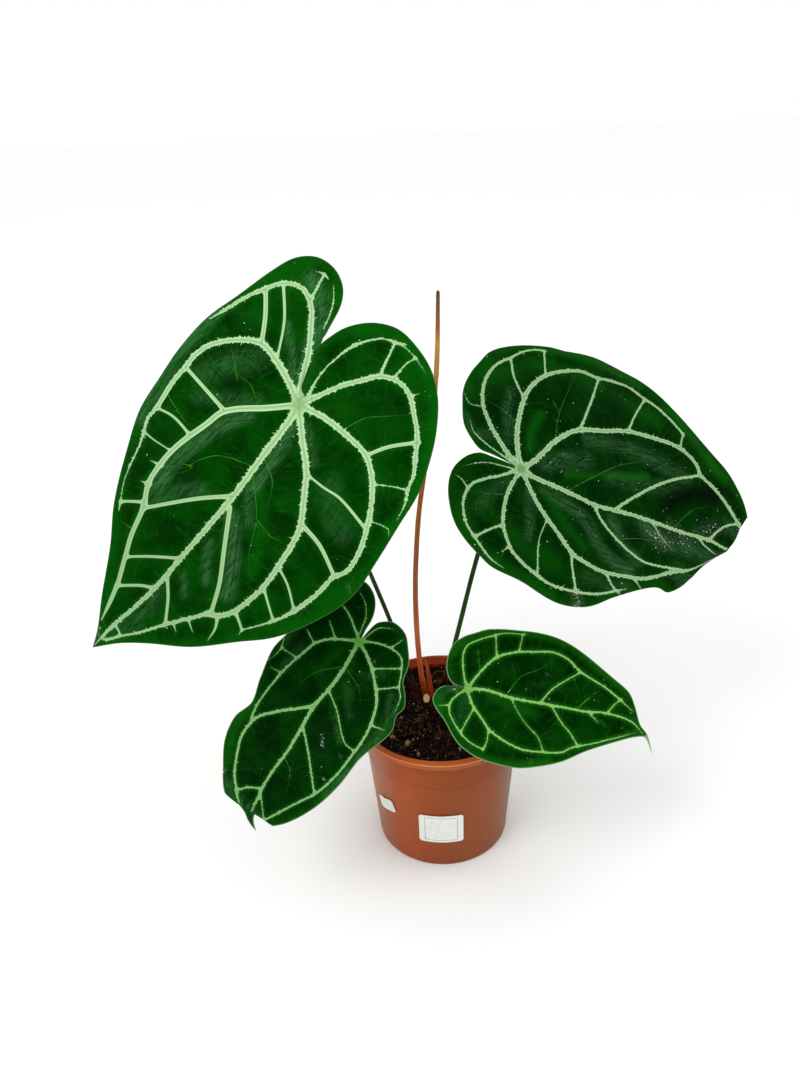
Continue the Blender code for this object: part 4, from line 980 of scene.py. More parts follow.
def thread_fields(points, ways):
    """Signed gap to the nearest thin vein and how strongly it shows, by point."""
    gap = np.full(len(points), 1e9)
    share = np.zeros(len(points))
    for way, strength in ways:
        low, high = way.min(axis=0) - THREAD_REACH, way.max(axis=0) + THREAD_REACH
        near = np.all((points > low) & (points < high), axis=1)
        spots = np.flatnonzero(near)
        if len(spots) == 0:
            continue
        distance, along, turn = closest(points[spots], way)
        length = runs_along(way)[-1]
        nearer = distance < np.abs(gap[spots])
        chosen = spots[nearer]
        gap[chosen] = (distance * turn)[nearer]
        fade = strength * (1 - 0.85 * eased(along, 0.3 * length, length)) * eased(distance, 3.2, 1.4)
        share[chosen] = fade[nearer]
    return np.clip(gap, -THREAD_REACH, THREAD_REACH), share


def stroke(points, strokes):
    """How much each point lies in the given soft strokes."""
    share = np.zeros(len(points))
    for width, strength, way in strokes:
        distance = closest(points, smooth_way(way, 4))[0]
        share = np.maximum(share, strength * eased(distance, width, 0))
    return share


def lapped(leaf, plan):
    """The plan with one lobe drawn a little over the other at the notch, and its lift there."""
    if "lap" not in leaf:
        return plan, np.zeros(len(plan))
    way = np.array(leaf["lap"], float)
    distance, along, side = closest(plan, way)
    near = eased(distance, 7, 1) * eased(along, 0, 6) * eased(along, LAP_LENGTH, LAP_LENGTH - 6) * (side < 0)
    ahead = (way[-1] - way[0]) / np.linalg.norm(way[-1] - way[0])
    return plan + near[:, None] * np.array([-ahead[1], ahead[0]]) * LAP_WIDTH, near


def leaf_faces(leaf, plan, seed, vein, blade):
    """Points of the upper and the under face, with grooves above and ribs below the veins."""
    _, side, edge = vein
    thread, thread_share, margin = blade
    width = np.clip(np.abs(side) - edge, 0.3, 4)
    groove = VEIN_GROOVE * np.clip(width / 2.2, 0.15, 1) * bell(side, 0.7 * width + 0.5)
    quilt = QUILT * (1 - bell(np.maximum(edge, 0), 5)) * eased(margin, 0, 8)
    quilt -= 0.12 * thread_share * bell(thread, 1.2)
    ripple = np.array([noise.noise((x / 9, y / 9, seed)) for x, y in plan]) * RIPPLE * eased(margin, 0, 5)
    spread, lift = lapped(leaf, plan)
    tilt = [shaped(leaf, spread + shift) - shaped(leaf, spread - shift) for shift in np.eye(2) / 2]
    normals = np.cross(*tilt)
    normals /= np.linalg.norm(normals, axis=1)[:, None]
    upper = shaped(leaf, spread) + normals * (quilt + ripple + lift - groove - 0.3)[:, None]
    thickness = EDGE_THICKNESS + (BLADE - EDGE_THICKNESS) * eased(margin, 0, 6)
    rib = VEIN_RIB * np.clip(width / 2.2, 0.1, 1) * bell(side, 0.55 * width + 0.6) * eased(margin, 0, 3)
    return upper, upper - normals * (thickness + rib)[:, None]


def make_leaf(name, seed, finishes):
    leaf = LEAVES[name]
    lines = [smooth_way(way, FINE_STEP) for _, _, way in leaf["silver"]]
    plan, faces, ring = leaf_plan(leaf, lines)
    vein = vein_fields(leaf, plan, lines)
    blade = (*thread_fields(plan, threads(leaf, lines, seed)), closest(plan, ring)[0])
    both = np.vstack(leaf_faces(leaf, plan, seed, vein, blade))
    points = both @ np.array(leaf_turn(leaf)).T + np.array(leaf["joint"])

    count = len(plan)
    sides = set()
    for face in faces:
        sides |= set(zip(face, [*face[1:], face[0]]))
    shell = faces + [[corner + count for corner in reversed(face)] for face in faces]
    rims = [[end, start, start + count, end + count] for start, end in sides if (end, start) not in sides]
    made = new_mesh_object(name + "_blade", points, shell + rims)
    mesh = made.data
    marks = [stroke(plan, leaf[kind]) for kind in ("painted_sheen", "glow", "dust")]
    for key, columns in {"vein": vein, "blade": blade, "mark": marks}.items():
        values = np.clip(np.column_stack(columns), -1000, 1000)
        point_values(mesh, key, "FLOAT_VECTOR", "vector", np.vstack([values, values]))
    point_values(mesh, "shade", "FLOAT", "value", np.tile(stroke(plan, leaf.get("shade", [])), 2))
    unwrap(mesh, "plan", np.vstack([plan, plan]) / PLAN_UNIT)
    put(made, [name], "leaf_blade", *finishes)
    mesh.polygons.foreach_set("material_index", [0] * len(faces) + [1] * len(faces) + [2] * len(rims))
    smooth_by_angle(made, 50)
    return made


# Stalks

def ring_frames(way):
    """Two directions square to the way at each of its points, turning as little as they can."""
    forward = np.gradient(way, axis=0)
    forward /= np.linalg.norm(forward, axis=1)[:, None]
    first = np.cross(forward[0], [0, 1, 0])
    firsts = []
    for ahead in forward:
        first = first - ahead * (first @ ahead)
        first /= np.linalg.norm(first)
        firsts.append(first)
    firsts = np.array(firsts)
    return firsts, np.cross(forward, firsts)


def make_stem(name, way, radii, sides, relief):
    """A closed stem along a way, whose radius also follows relief(angle, run)."""
    first, second = ring_frames(way)
    runs = runs_along(way)
    angles = np.arange(sides) * math.tau / sides
    points, sheet, faces = [], [], []
    for place, a, b, radius, run in zip(way, first, second, radii, runs):
        reach = radius + relief(angles, run)
        points.append(place + reach[:, None] * (np.cos(angles)[:, None] * a + np.sin(angles)[:, None] * b))
        sheet += [(angle / math.tau, run / 100) for angle in angles]
    points = np.vstack([*points, way[:1], way[-1:]])
    sheet += [(0.5, 0), (0.5, runs[-1] / 100)]
    last = (len(way) - 1) * sides
    for low in range(0, last, sides):
        for side in range(sides):
            after = (side + 1) % sides
            faces.append([low + side, low + after, low + sides + after, low + sides + side])
    for side in range(sides):
        after = (side + 1) % sides
        faces.append([len(points) - 2, after, side])
        faces.append([len(points) - 1, last + side, last + after])
    made = new_mesh_object(name, points, faces)
    unwrap(made.data, "skin", sheet)
    turn_outwards(made)
    smooth_by_angle(made, 50)
    return made


def ridged(strength, wobble, seed):
    """Shallow ridges along a stalk, with slow swellings."""
    def relief(angles, run):
        slow = noise.noise((run / 14, seed, 0)) * wobble
        return strength * (np.sin(5 * angles + seed) + 0.5 * np.sin(9 * angles - run / 30)) + slow
    return relief


def make_leaf_stalk(name, seed, finish):
    stalk, leaf = LEAF_STALKS[name], LEAVES[name]
    depth = VEIN_GROOVE + BLADE + VEIN_RIB + GAP
    joint, turn = Vector(leaf["joint"]), leaf_turn(leaf)
    ends = [tuple(joint + turn @ Vector((0, 0, -depth - back))) for back in (KNUCKLE_LENGTH, 0)]
    way = smooth_way([*stalk["route"], *ends], STALK_STEP)
    t = np.linspace(0, 1, len(way))
    base, top = stalk["radius"]
    radii = base + (top - base) * t**0.5 + KNUCKLE_SWELLING * bell((t - 1) * len(way), 9.5)
    made = make_stem(name + "_petiole", way, radii, STALK_SIDES, ridged(0.04, 0.12, seed))
    return put(made, [name + "_stalk"], "leaf_stalk", finish)


def make_flower_stem(finish):
    way = smooth_way(FLOWER_ROUTE, STALK_STEP)
    radii = np.linspace(*FLOWER_RADIUS, len(way))
    made = make_stem("flower_stem", way, radii, STALK_SIDES, ridged(0.035, 0.12, 5))
    return put(made, ["flower_stalk"], "flower_stalk", finish)


def make_flower_spike(finish):
    """The spent spadix: rows of dry scales, rounded off at its tip."""
    way = smooth_way(SPADIX_ROUTE, 0.55)
    way = way + (way[-1] - way[0]) / np.linalg.norm(way[-1] - way[0]) * GAP
    t = np.linspace(0, 1, len(way))
    radii = SPADIX_RADIUS[0] + (SPADIX_RADIUS[1] - SPADIX_RADIUS[0]) * t
    radii = radii * np.sqrt(np.maximum(0.05, 1 - np.maximum(0, (t - SPADIX_TIP_START) / 0.036)**2))

    def scales(angles, run):
        fade = min(1.0, run / 4) * 0.11
        return fade * (np.cos(4 * angles + run * 1.7) * np.cos(4 * angles - run * 1.7) - 0.3)
    made = make_stem("flower_spike", way, radii, 32, scales)
    return put(made, ["spadix"], "spadix", finish)


def skin_finish(name):
    """Skin of a stalk or sheath: colours by height, fine lines along it, and mottling."""
    skin = SKINS[name]
    made = Finish(name, specular=skin.get("specular", 0.1))
    place = made.place()
    made.climb(made.split(place)[2], skin["stops"])
    grain = made.noise(made.stretched(made.uv("skin"), *skin["stretch"]), 1.0, 4, 0.6)
    low, high, share, colour = skin["grain"]
    made.coat(made.ease(grain, low, high, 0.0, share), colour)
    scale, roughness, low, high, share, colour = skin["mottle"]
    made.coat(made.ease(made.noise(place, scale, 3, roughness), low, high, 0.0, share), colour)
    made.bump(grain, *skin["relief"])
    if "roughness" in skin:
        made.set(Roughness=made.ease(grain, 0.3, 0.7, *skin["roughness"]))
    return made.done()


# Crown pieces

def stalk_feet():
    """Where each stalk leaves the soil, and its radius."""
    feet = [(stalk["route"][:2], stalk["radius"][0]) for stalk in LEAF_STALKS.values()]
    feet += [(FLOWER_ROUTE[:2], FLOWER_RADIUS[0]), (SHEATH_ROUTE[:2], SHEATH_RADIUS),
             ((STUB_BASE, STUB_TOP), STUB_RADIUS)]
    spots = []
    for (low, high), radius in feet:
        t = (CROWN_LEVEL - low[2]) / (high[2] - low[2])
        spots.append((low[0] + t * (high[0] - low[0]), low[1] + t * (high[1] - low[1]), radius))
    return spots


FEET = stalk_feet()


def foot_gap(x, y):
    """Distance to the nearest stalk where it leaves the soil."""
    return min(math.dist((x, y), spot[:2]) - spot[2] for spot in FEET)


def foot_share(x, y):
    """1 against a stalk's foot, falling off around it."""
    return math.exp(-(max(foot_gap(x, y), 0) / COLLAR_REACH)**2)


def crown_height(crown, x, y):
    share = math.dist((x, y), crown["centre"]) / crown["radius"]
    rough = 0.9 * noise.noise((x / 2.6, y / 2.6, 1)) + 0.5 * noise.noise((x / 1.1, y / 1.1, 4))
    return crown["top"] - 0.4 - 3.0 * share**3 + rough * (1 - 0.5 * share) + COLLAR * foot_share(x, y)


def make_crown(name, piece, finish):
    crown = CROWNS[name]
    radius, top = crown["radius"], crown["top"]
    rings = [(0.9 * radius, top - CROWN_DEPTH), (radius, top - CROWN_DEPTH + 1), (radius, top - 4.5)]
    rings += [(share * radius, top - 3) for share in np.linspace(0.99, 0.03, 26)]
    made = raised(piece, rings, 88)
    stain = []
    for vert in made.data.vertices:
        x, y, z = vert.co / MM + Vector((*crown["centre"], 0))
        if z > top - 4:
            z = crown_height(crown, x, y)
        vert.co = Vector((x, y, z)) * MM
        stain.append(0.8 * foot_share(x, y))
    point_values(made.data, "stain", "FLOAT", "value", stain)
    smooth_by_angle(made, 60)
    return put(made, [name], "crown_bark", finish)


def make_cut_stub(finishes):
    """The stump of an older stalk, cut across at a slant."""
    way = smooth_way([STUB_BASE, STUB_TOP], 0.6)
    made = make_stem("cut_stalk_stub", way, np.full(len(way), STUB_RADIUS), 32, ridged(0.05, 0.1, 3))
    foot = (STUB_BASE[2] + 4) * MM
    for vert in made.data.vertices:
        if vert.co.z > foot:
            share = min(1, (vert.co.z - foot) / MM / 3)
            vert.co.z += STUB_SLANT * (vert.co.y - STUB_TOP[1] * MM) * share
    put(made, ["cut_stub"], "cut_pith", *finishes)
    made.data.update()
    for face in made.data.polygons:
        face.material_index = int(face.normal.z > 0.5 and face.center.z > foot)
    return made


def make_sheath(finish):
    """A dry sheath that stands beside the stalks and narrows to a point."""
    way = smooth_way(SHEATH_ROUTE, 1.0)
    t = np.linspace(0, 1, len(way))

    def fold(angles, run):
        return 0.16 * np.cos(2 * angles + 0.6) + 0.05 * np.sin(7 * angles + run / 6)
    radii = SHEATH_POINT + (SHEATH_RADIUS - SHEATH_POINT) * (1 - t**1.6)
    made = make_stem("sheath_point", way, radii, 28, fold)
    return put(made, ["sheath_leaf"], "sheath", finish)


def bark_finish():
    """Dark rough stem base, red brown where the stalks leave it."""
    made = Finish("crown bark", roughness=0.85, specular=0.1)
    place = made.place()
    fibre = made.noise(made.stretched(place, 1.2, 1.2, 0.35), 1.0, 4, 0.7)
    made.colour = made.blend(made.ease(made.noise(place, 0.45, 4, 0.65), 0.35, 0.7), "100604", "24100a")
    made.coat(made.ease(fibre, 0.45, 0.7, 0.0, 0.5), "34180e")
    made.coat(made.attribute("stain", "Fac") * made.ease(fibre, 0.2, 0.6, 0.6, 1.0), "440e04")
    made.bump(fibre, 0.5, 0.8)
    return made.done()


def pith_finish():
    """Pale cut face with darker dots and an orange tinge in places."""
    made = Finish("cut pith", roughness=0.7, specular=0.2)
    place = made.place()
    tone = made.noise(place, 1.1, 3, 0.6)
    made.colour = made.blend(made.ease(tone, 0.3, 0.7), "f0bc74", "ffe6b8")
    made.coat(made.spots(place, 0.8, 0.16, 0.5) * 0.4, "c07e38")
    made.coat(made.ease(made.noise(place, 0.5, 2, 0.5), 0.5, 0.65, 0.0, 0.7), "e09a48")
    made.bump(tone, 0.15, 0.6)
    return made.done()


# Pot

def raised(name, rings, sides):
    """A round closed form raised ring by ring from a filled circle, then brought to the origin."""
    deselect()
    radius, height = rings[0]
    bpy.ops.mesh.primitive_circle_add(vertices=sides, radius=radius * MM, fill_type="NGON",
                                      location=(0, 0, height * MM))
    made = bpy.context.object
    made.name = made.data.name = name
    bpy.ops.object.mode_set(mode="EDIT")
    bpy.ops.mesh.select_mode(type="FACE")
    bpy.ops.mesh.select_all(action="SELECT")
    for (radius, height), (after, level) in zip(rings, rings[1:]):
        bpy.ops.mesh.extrude_region_move(TRANSFORM_OT_translate={"value": (0, 0, (level - height) * MM)})
        share = after / radius
        bpy.ops.transform.resize(value=(share, share, 1), center_override=(0, 0, level * MM))
    bpy.ops.object.mode_set(mode="OBJECT")
    turn_outwards(made)
    bpy.ops.object.transform_apply(location=True, rotation=True, scale=True)
    return made


def wall_radius(height):
    radius = WALL_RADIUS_AT_LIP - WALL_TAPER * (POT_HEIGHT - height)
    return radius - (STEP_DEPTH if height < STEP_HEIGHT else 0)


def pot_rings():
    """Radius and height of each ring, up the outside, over the lip and down the inside."""
    step, foot, bead = STEP_HEIGHT, POT_HEIGHT - LIP_HEIGHT, POT_HEIGHT - LIP_BEAD
    outside = [(-0.8, 0, 0), (-0.3, 0, 0.15), (0, 0.8, 0.8), (0, step - 0.9, step - 0.9),
               (0.12, step - 0.5, step - 0.5), (0, step, step - 0.1), (0, step + 0.4, step + 0.4),
               (0, foot, foot - 0.9), (0.15, foot, foot - 0.3), (0.6, foot, foot)]
    lip = [(-1.0, foot), (-0.5, foot + 0.12), (-0.3, foot + 0.5), (-0.22, bead - 0.75), (-0.08, bead - 0.45),
           (0, bead - 0.1), (-0.05, bead + 0.2), (-0.25, bead + 0.42), (-0.5, bead + 0.75),
           (-0.95, POT_HEIGHT - 0.85), (-1.5, POT_HEIGHT - 0.25)]
    crest = [(0.75, 0), (0.25, 0.2), (-0.1, 0.8), (-0.5, 1.7)]
    top = POT_HEIGHT - 4.5
    within = [(0, top, top), (0, step + 1.5, step + 0.5), (0, step - 1.5, step - 1.5),
              (0, FLOOR + 2, FLOOR + 2), (-2, FLOOR, FLOOR)]
    rings = [(wall_radius(at) + more, height) for more, at, height in outside]
    rings += [(LIP_RADIUS + more, height) for more, height in lip]
    rings += [(LIP_INNER_RADIUS + more, POT_HEIGHT - down) for more, down in crest]
    return rings + [(wall_radius(at) - WALL + more, height) for more, at, height in within]


def make_pot(finish):
    made = raised("nursery_pot", pot_rings(), POT_SIDES)
    for number in range(DRAIN_HOLES):
        angle = math.tau * (number + 0.5) / DRAIN_HOLES
        place = (DRAIN_CIRCLE * math.cos(angle) * MM, DRAIN_CIRCLE * math.sin(angle) * MM, FLOOR / 2 * MM)
        deselect()
        bpy.ops.mesh.primitive_cylinder_add(vertices=32, radius=DRAIN_RADIUS * MM, depth=3 * FLOOR * MM,
                                            location=place)
        cutter = bpy.context.object
        only(made)
        cut = made.modifiers.new("drain", "BOOLEAN")
        cut.operation = "DIFFERENCE"
        cut.solver = "EXACT"
        cut.object = cutter
        bpy.ops.object.modifier_apply(modifier=cut.name)
        bpy.data.objects.remove(cutter, do_unlink=True)
    smooth_by_angle(made, 35)
    return put(made, ["pot"], "pot_plastic", finish)


def pot_finish():
    """Terracotta plastic, dirty inside, with painted light: shade at one side, under the lip and at the
    step, a sheen at both sides, and highlights on the lip, its bead and the inner top edge.
    """
    made = Finish("terracotta plastic", specular=0.14)
    place = made.place()
    x, y, height = made.split(place)
    radius = made.vector("LENGTH", made.joined(x, y), output="Value")
    cloud = made.noise(made.stretched(place, 1, 1, 0.35), 0.03, 3, 0.55)
    scuff = made.noise(made.stretched(place, 0.5, 0.5, 2.4), 0.25, 5, 0.7)
    grime_and_shade = made.noise(place, 0.22, 5, 0.65)
    below_lip = made.ease(height, 98.7, 98.3)

    # middle of the wall at each height, which parts the outside from the inside
    middle = height * WALL_TAPER + (WALL_RADIUS_AT_LIP - WALL / 2 - POT_HEIGHT * WALL_TAPER)
    middle = middle + made.ease(height, 98.25, 98.4) * 3.2
    middle = middle - made.ease(height, STEP_HEIGHT + 0.3, STEP_HEIGHT - 0.1, 0.0, STEP_DEPTH)
    outside = made.ease(radius - middle, -0.15, 0.15)
    within = (1.0 - outside) * made.ease(height, 84.0, 90.0)

    # plain plastic, scuffed, with painted shade towards the right and a painted greyish sheen at both sides
    made.colour = made.blend(made.ease(cloud, 0.3, 0.7), "98420e", "a24a18")
    made.coat(made.ease(scuff, 0.56, 0.78, 0.0, 0.2), "b46a38")
    # painted shade, darker towards the right side of the pot
    made.coat(made.ease(x, -32, 8, 0.0, 0.6), "743c18")
    # painted sheen, greyish at both sides of the pot
    side_sheen = made.noise(made.joined(made.math("ARCTAN2", x, y), 0.0), 9.0, 3, 0.6)
    side_sheen = made.ease(side_sheen, 0.3, 0.6, 0.55, 1.0) * made.ease(abs(x), 30, 52)
    sheen_tint = made.blend(made.ease(x, -20, 20), "a07c60", "7c5e46")
    made.coat(side_sheen * made.ease(x, -20, 20, 0.6, 1.0), sheen_tint)

    # lip painted lighter, with a painted highlight on its bead, painted shadow under it, and a painted shade
    # line at the step
    # painted highlight: the lip's outer faces lighter than the wall
    made.coat(made.ease(height, 98.0, 99.0) * outside * 0.7, "b2561e")
    # painted highlight along the lip's bead
    bead = made.ease(abs(height - (POT_HEIGHT - LIP_BEAD)), 0.5, 0.1) * made.ease(radius, 59.0, 59.6)
    made.coat(bead * 0.8, "e69a62")
    # painted shadow in a ragged band on the wall under the lip, then a softer painted shade rising towards
    # it
    under = made.ease(grime_and_shade * 1.4 + height, 94.6, 96.2) * made.ease(height, 98.7, 98.3, 0.0, 0.8)
    made.coat(under * outside, "4a1c08")
    made.coat(made.ease(height, 86, 98, 0.0, 0.35) * below_lip * outside, "6c3410")
    # painted shade in a thin line at the step
    made.coat(made.ease(abs(height - (STEP_HEIGHT - 0.3)), 0.7, 0.25, 0.0, 0.75) * outside, "5a2a10")

    # inside above the soil, with a painted highlight along its top edge, and grains of dirt
    made.coat(within * 0.8, "b23a0c")
    # painted highlight along the inner top edge
    made.coat(within * made.ease(height, 103.4, 104.6, 0.0, 0.8), "d07040")
    made.coat(within * made.ease(grime_and_shade, 0.45, 0.6) * made.ease(height, 102.0, 98.0), "200a05")
    dirt = made.spots(place, 24.0, 0.8, 0.3)
    made.coat(dirt.at_least(made.spots(place, 9.0, 0.35, 0.25, 5.0)), "3b1c10")
    made.bump(made.noise(place, 2.5, 3, 0.6) * 0.4 + cloud, 0.12, 0.35)
    return made.done(Roughness=made.ease(scuff, 0.3, 0.8, 0.38, 0.55))


# Labels

def make_label(node, finish):
    """A paper sticker bent round the pot's wall, with blunt corners."""
    label = LABELS[node]
    width, tall, nick = label["width"], label["tall"], label["nick"]
    deselect()
    bpy.ops.mesh.primitive_grid_add(x_subdivisions=40, y_subdivisions=32, size=1)
    made = bpy.context.object
    made.name = made.data.name = label["piece"]
    turn = math.radians(label["lean"])
    for vert in made.data.vertices:
        u, v = vert.co.x * width, vert.co.y * tall
        past = [max(0, abs(gap) - side / 2 + LABEL_CORNER) for gap, side in ((u, width), (v, tall))]
        corner = max(0, sum(past) - LABEL_CORNER) * LABEL_CORNER_CUT
        u -= math.copysign(corner, u)
        v -= math.copysign(corner, v)
        upper = v - tall / 2 + 1.3
        if upper > 0:
            v -= nick * math.exp(-((u + 0.5) / 0.8)**2) * upper / 1.3
        z = label["middle"] + u * math.sin(turn) + v * math.cos(turn)
        around = math.radians(label["angle"]) + (u * math.cos(turn) - v * math.sin(turn)) / wall_radius(z)
        radius = wall_radius(z) + GAP + LABEL_LIFT
        vert.co = Vector((radius * math.sin(around), -radius * math.cos(around), z)) * MM
    made.data.update()
    only(made)
    wall = made.modifiers.new("paper", "SOLIDIFY")
    wall.thickness = PAPER * MM
    wall.offset = 1.0
    bpy.ops.object.modifier_apply(modifier=wall.name)
    smooth_by_angle(made, 40)
    return put(made, [node], "label_paper", finish)


def paper_finish(name, framed=None):
    """White paper, with a thin line inside the margin of a framed label."""
    made = Finish(name, roughness=0.55, specular=0.3)
    place = made.place()
    made.colour = made.blend(made.ease(made.noise(place, 0.25, 4, 0.6), 0.3, 0.75), "dfe3dc", "d4dad1")
    if framed:
        across, up, _ = made.split(made.uv("UVMap"))
        gaps = [(0.5 - abs(way - 0.5)) * size - margin for way, size, margin in
                zip((across, up), (framed["width"], framed["tall"]), FRAME_MARGINS)]
        made.coat(made.ease(abs(made.math("MINIMUM", *gaps)), 0.22, 0.1, 0.0, 0.8), "3c423a")
    made.bump(made.noise(place, 1.6, 4, 0.6), 0.06, 0.5)
    return made.done()


# Soil

def soil_bump(x, y):
    waves = math.sin(x / 7.3 + 1.1) * math.cos(y / 6.1) + 0.5 * math.sin((x - 1.4 * y) / 3.9)
    return SOIL_ROUGHNESS * waves


def soil_height(x, y):
    rough = 2.0 * noise.noise((x / 4.6, y / 4.6, 2)) + 1.3 * noise.noise((x / 1.7, y / 1.7, 5))
    rise = float(eased(math.hypot(x, y), 45, 53)) * (1.0 + 1.6 * noise.noise((x / 6, y / 6, 9)))
    return SOIL_TOP + 0.6 * soil_bump(x, y) + rough + rise


def ground_height(x, y):
    """Height of the soil, or of a crown where one stands out of it."""
    heights = [crown_height(crown, x, y) for crown in CROWNS.values()
               if math.dist((x, y), crown["centre"]) < crown["radius"]]
    return max([soil_height(x, y), *heights])


def make_ground(edge):
    """Points and faces of the soil's body, with a rough top."""
    tight = WALL + SOIL_CLEARANCE
    bottom = FLOOR + 2.4
    rings = [(wall_radius(bottom) - WALL - 3, bottom)]
    heights = (bottom + 1, STEP_HEIGHT - 2, STEP_HEIGHT + 1.5)
    rings += [(wall_radius(height) - tight, height) for height in heights]
    rings += [(edge, SOIL_TOP - 2)]
    rings += [(edge * share, SOIL_TOP) for share in np.linspace(0.995, 0.02, 56)]
    ground = raised("soil_ground", rings, SOIL_SIDES)
    for vert in ground.data.vertices:
        if vert.co.z > (SOIL_TOP - 0.5) * MM:
            vert.co.z = soil_height(vert.co.x / MM, vert.co.y / MM) * MM
    points = np.array([tuple(vert.co / MM) for vert in ground.data.vertices])
    faces = [tuple(face.vertices) for face in ground.data.polygons]
    bpy.data.objects.remove(ground, do_unlink=True)
    return points, faces


def crumb_shapes(rng):
    """A few rough lumps, each from a small sphere with shifted corners."""
    shapes = []
    for _ in range(6):
        deselect()
        bpy.ops.mesh.primitive_ico_sphere_add(subdivisions=1, radius=1)
        lump = bpy.context.object
        points = np.array([tuple(vert.co) for vert in lump.data.vertices])
        faces = np.array([tuple(face.vertices) for face in lump.data.polygons])
        shapes.append((points * np.array([[rng.uniform(0.7, 1.25)] for _ in points]), faces))
        bpy.data.objects.remove(lump, do_unlink=True)
    return shapes


def random_turn(rng):
    x, y, z = [Matrix.Rotation(rng.uniform(0, math.tau), 3, axis) for axis in "XYZ"]
    return np.array(x @ y @ z)


def on_soil(rng, reach):
    """A seeded place on the soil within a radius."""
    angle, distance = rng.uniform(0, math.tau), reach * math.sqrt(rng.random())
    return distance * math.cos(angle), distance * math.sin(angle)


def crumb_tint(rng, x, y):
    """A seeded tint, in an olive patch in front of the crown more often olive."""
    pick = rng.random()
    if math.hypot((x + 14) / 6, (y + 2) / 8) < 1 and pick < 0.5:
        return rng.choice(("olive", "brown", "bark"))
    for share, tint in CRUMB_MIX:
        if pick < share:
            return tint
    return "pale"


def strand(way, thick):
    """A thin four-sided fibre along a way."""
    first, second = ring_frames(way)
    turns = np.arange(4) * math.tau / 4
    points = [place + thick * (math.cos(turn) * a + math.sin(turn) * b)
              for place, a, b in zip(way, first, second) for turn in turns]
    last = 4 * len(way) - 4
    faces = [(row + corner, row + (corner + 1) % 4, row + 4 + (corner + 1) % 4, row + 4 + corner)
             for row in range(0, last, 4) for corner in range(4)]
    return np.array(points), faces + [(3, 2, 1, 0), (last, last + 1, last + 2, last + 3)]


def lumps(rng, edge):
    """Crumbs, bits of bark and the listed bits, as points, faces, tint and brightness."""
    shapes = crumb_shapes(rng)

    def lump(x, y, size, tint, sink, bright=1.0):
        points, faces = rng.choice(shapes)
        place = (x, y, ground_height(x, y) + sink)
        return (points * size) @ random_turn(rng).T + place, faces, tint, bright

    parts = []
    while len(parts) < CRUMBS:
        x, y = on_soil(rng, edge - 1.2)
        if foot_gap(x, y) < 1.0:
            continue
        tint = crumb_tint(rng, x, y)
        size = rng.uniform(*FINE_CRUMB) if rng.random() < FINE_SHARE else rng.uniform(*COARSE_CRUMB)
        if tint in ("pale", "tan", "rose"):
            size = rng.uniform(*PALE_CRUMB)
        sizes = np.array([size * rng.uniform(0.4, 1.5) for _ in range(3)])
        parts.append(lump(x, y, sizes, tint, rng.uniform(-0.3, 0.6), rng.uniform(0.55, 1.4)))
    for _ in range(BARK_BITS):
        x, y = on_soil(rng, edge - 4)
        if foot_gap(x, y) > 3:
            sizes = np.array([rng.uniform(1.8, 3.4), rng.uniform(1.2, 2.2), rng.uniform(0.8, 1.5)])
            tint = rng.choice(("bark", "brown", "brown", "rose"))
            parts.append(lump(x, y, sizes, tint, 0.5, rng.uniform(0.5, 1.0)))
    return parts + [lump(x, y, np.array([1.3, 1, 0.8]) * size, tint, 0.9) for x, y, size, tint in NAMED_BITS]


def fibres(rng, edge):
    """Thin root fibres that lie on the soil, then the listed sticks."""
    parts = []
    for _ in range(FIBRES):
        x, y = on_soil(rng, edge - 7)
        heading, length, bend = rng.uniform(0, math.tau), rng.uniform(4, 11), rng.uniform(-0.35, 0.35)
        ahead = np.array([math.cos(heading), math.sin(heading)])
        t = np.linspace(-0.5, 0.5, 7)[:, None]
        flat = np.array([x, y]) + length * (t * ahead + bend * t**2 * np.array([-ahead[1], ahead[0]]))
        if foot_gap(x, y) > 3 and np.hypot(*flat.T).max() < edge - 1:
            way = np.array([(*spot, ground_height(*spot) + 0.8) for spot in flat])
            way[:, 2] = np.convolve(np.pad(way[:, 2], 1, mode="edge"), [0.3, 0.4, 0.3], "valid")
            tint = rng.choice(("straw", "brown", "bark", "bark"))
            parts.append((*strand(way, rng.uniform(0.14, 0.34)), tint, rng.uniform(0.7, 1.3)))
    return parts + [(*strand(smooth_way(way, 1.5), thick), tint, 1.0) for thick, tint, way in NAMED_STICKS]


def make_soil(finish):
    edge = wall_radius(SOIL_TOP) - WALL - SOIL_CLEARANCE
    rng = random.Random(SOIL_SEED)
    parts = [(*make_ground(edge), "ground", 1.0), *lumps(rng, edge), *fibres(rng, edge)]
    points, faces, tints = [], [], []
    for shape, shape_faces, tint, bright in parts:
        faces += [tuple(corner + len(tints) for corner in face) for face in shape_faces]
        points.append(shape)
        tints += [np.array(paint(SOIL_TINTS[tint])) * [bright, bright, bright, 1]] * len(shape)
    made = new_mesh_object("potting_mix_fill", np.vstack(points), faces)
    point_values(made.data, "tint", "FLOAT_COLOR", "color", tints)
    return put(made, ["soil"], "potting_mix", finish)


def soil_finish():
    """Each crumb in its own tint, darker and lighter by its grain, with a few pale specks."""
    made = Finish("peat and bark", roughness=0.9, specular=0.08)
    place = made.place()
    grain = made.noise(place, 1.3, 5, 0.7)
    tint = made.attribute("tint", "Color")
    dark, light = [made.scaled(tint, share) for share in (0.35, 1.6)]
    made.colour = made.blend(made.ease(grain, 0.38, 0.66), dark, light)
    made.coat(made.spots(place, 2.2, 0.22, 0.14) * 0.8, "a07a62")
    made.bump(grain, 0.5, 0.9)
    return made.done()


# Camera, light and floor

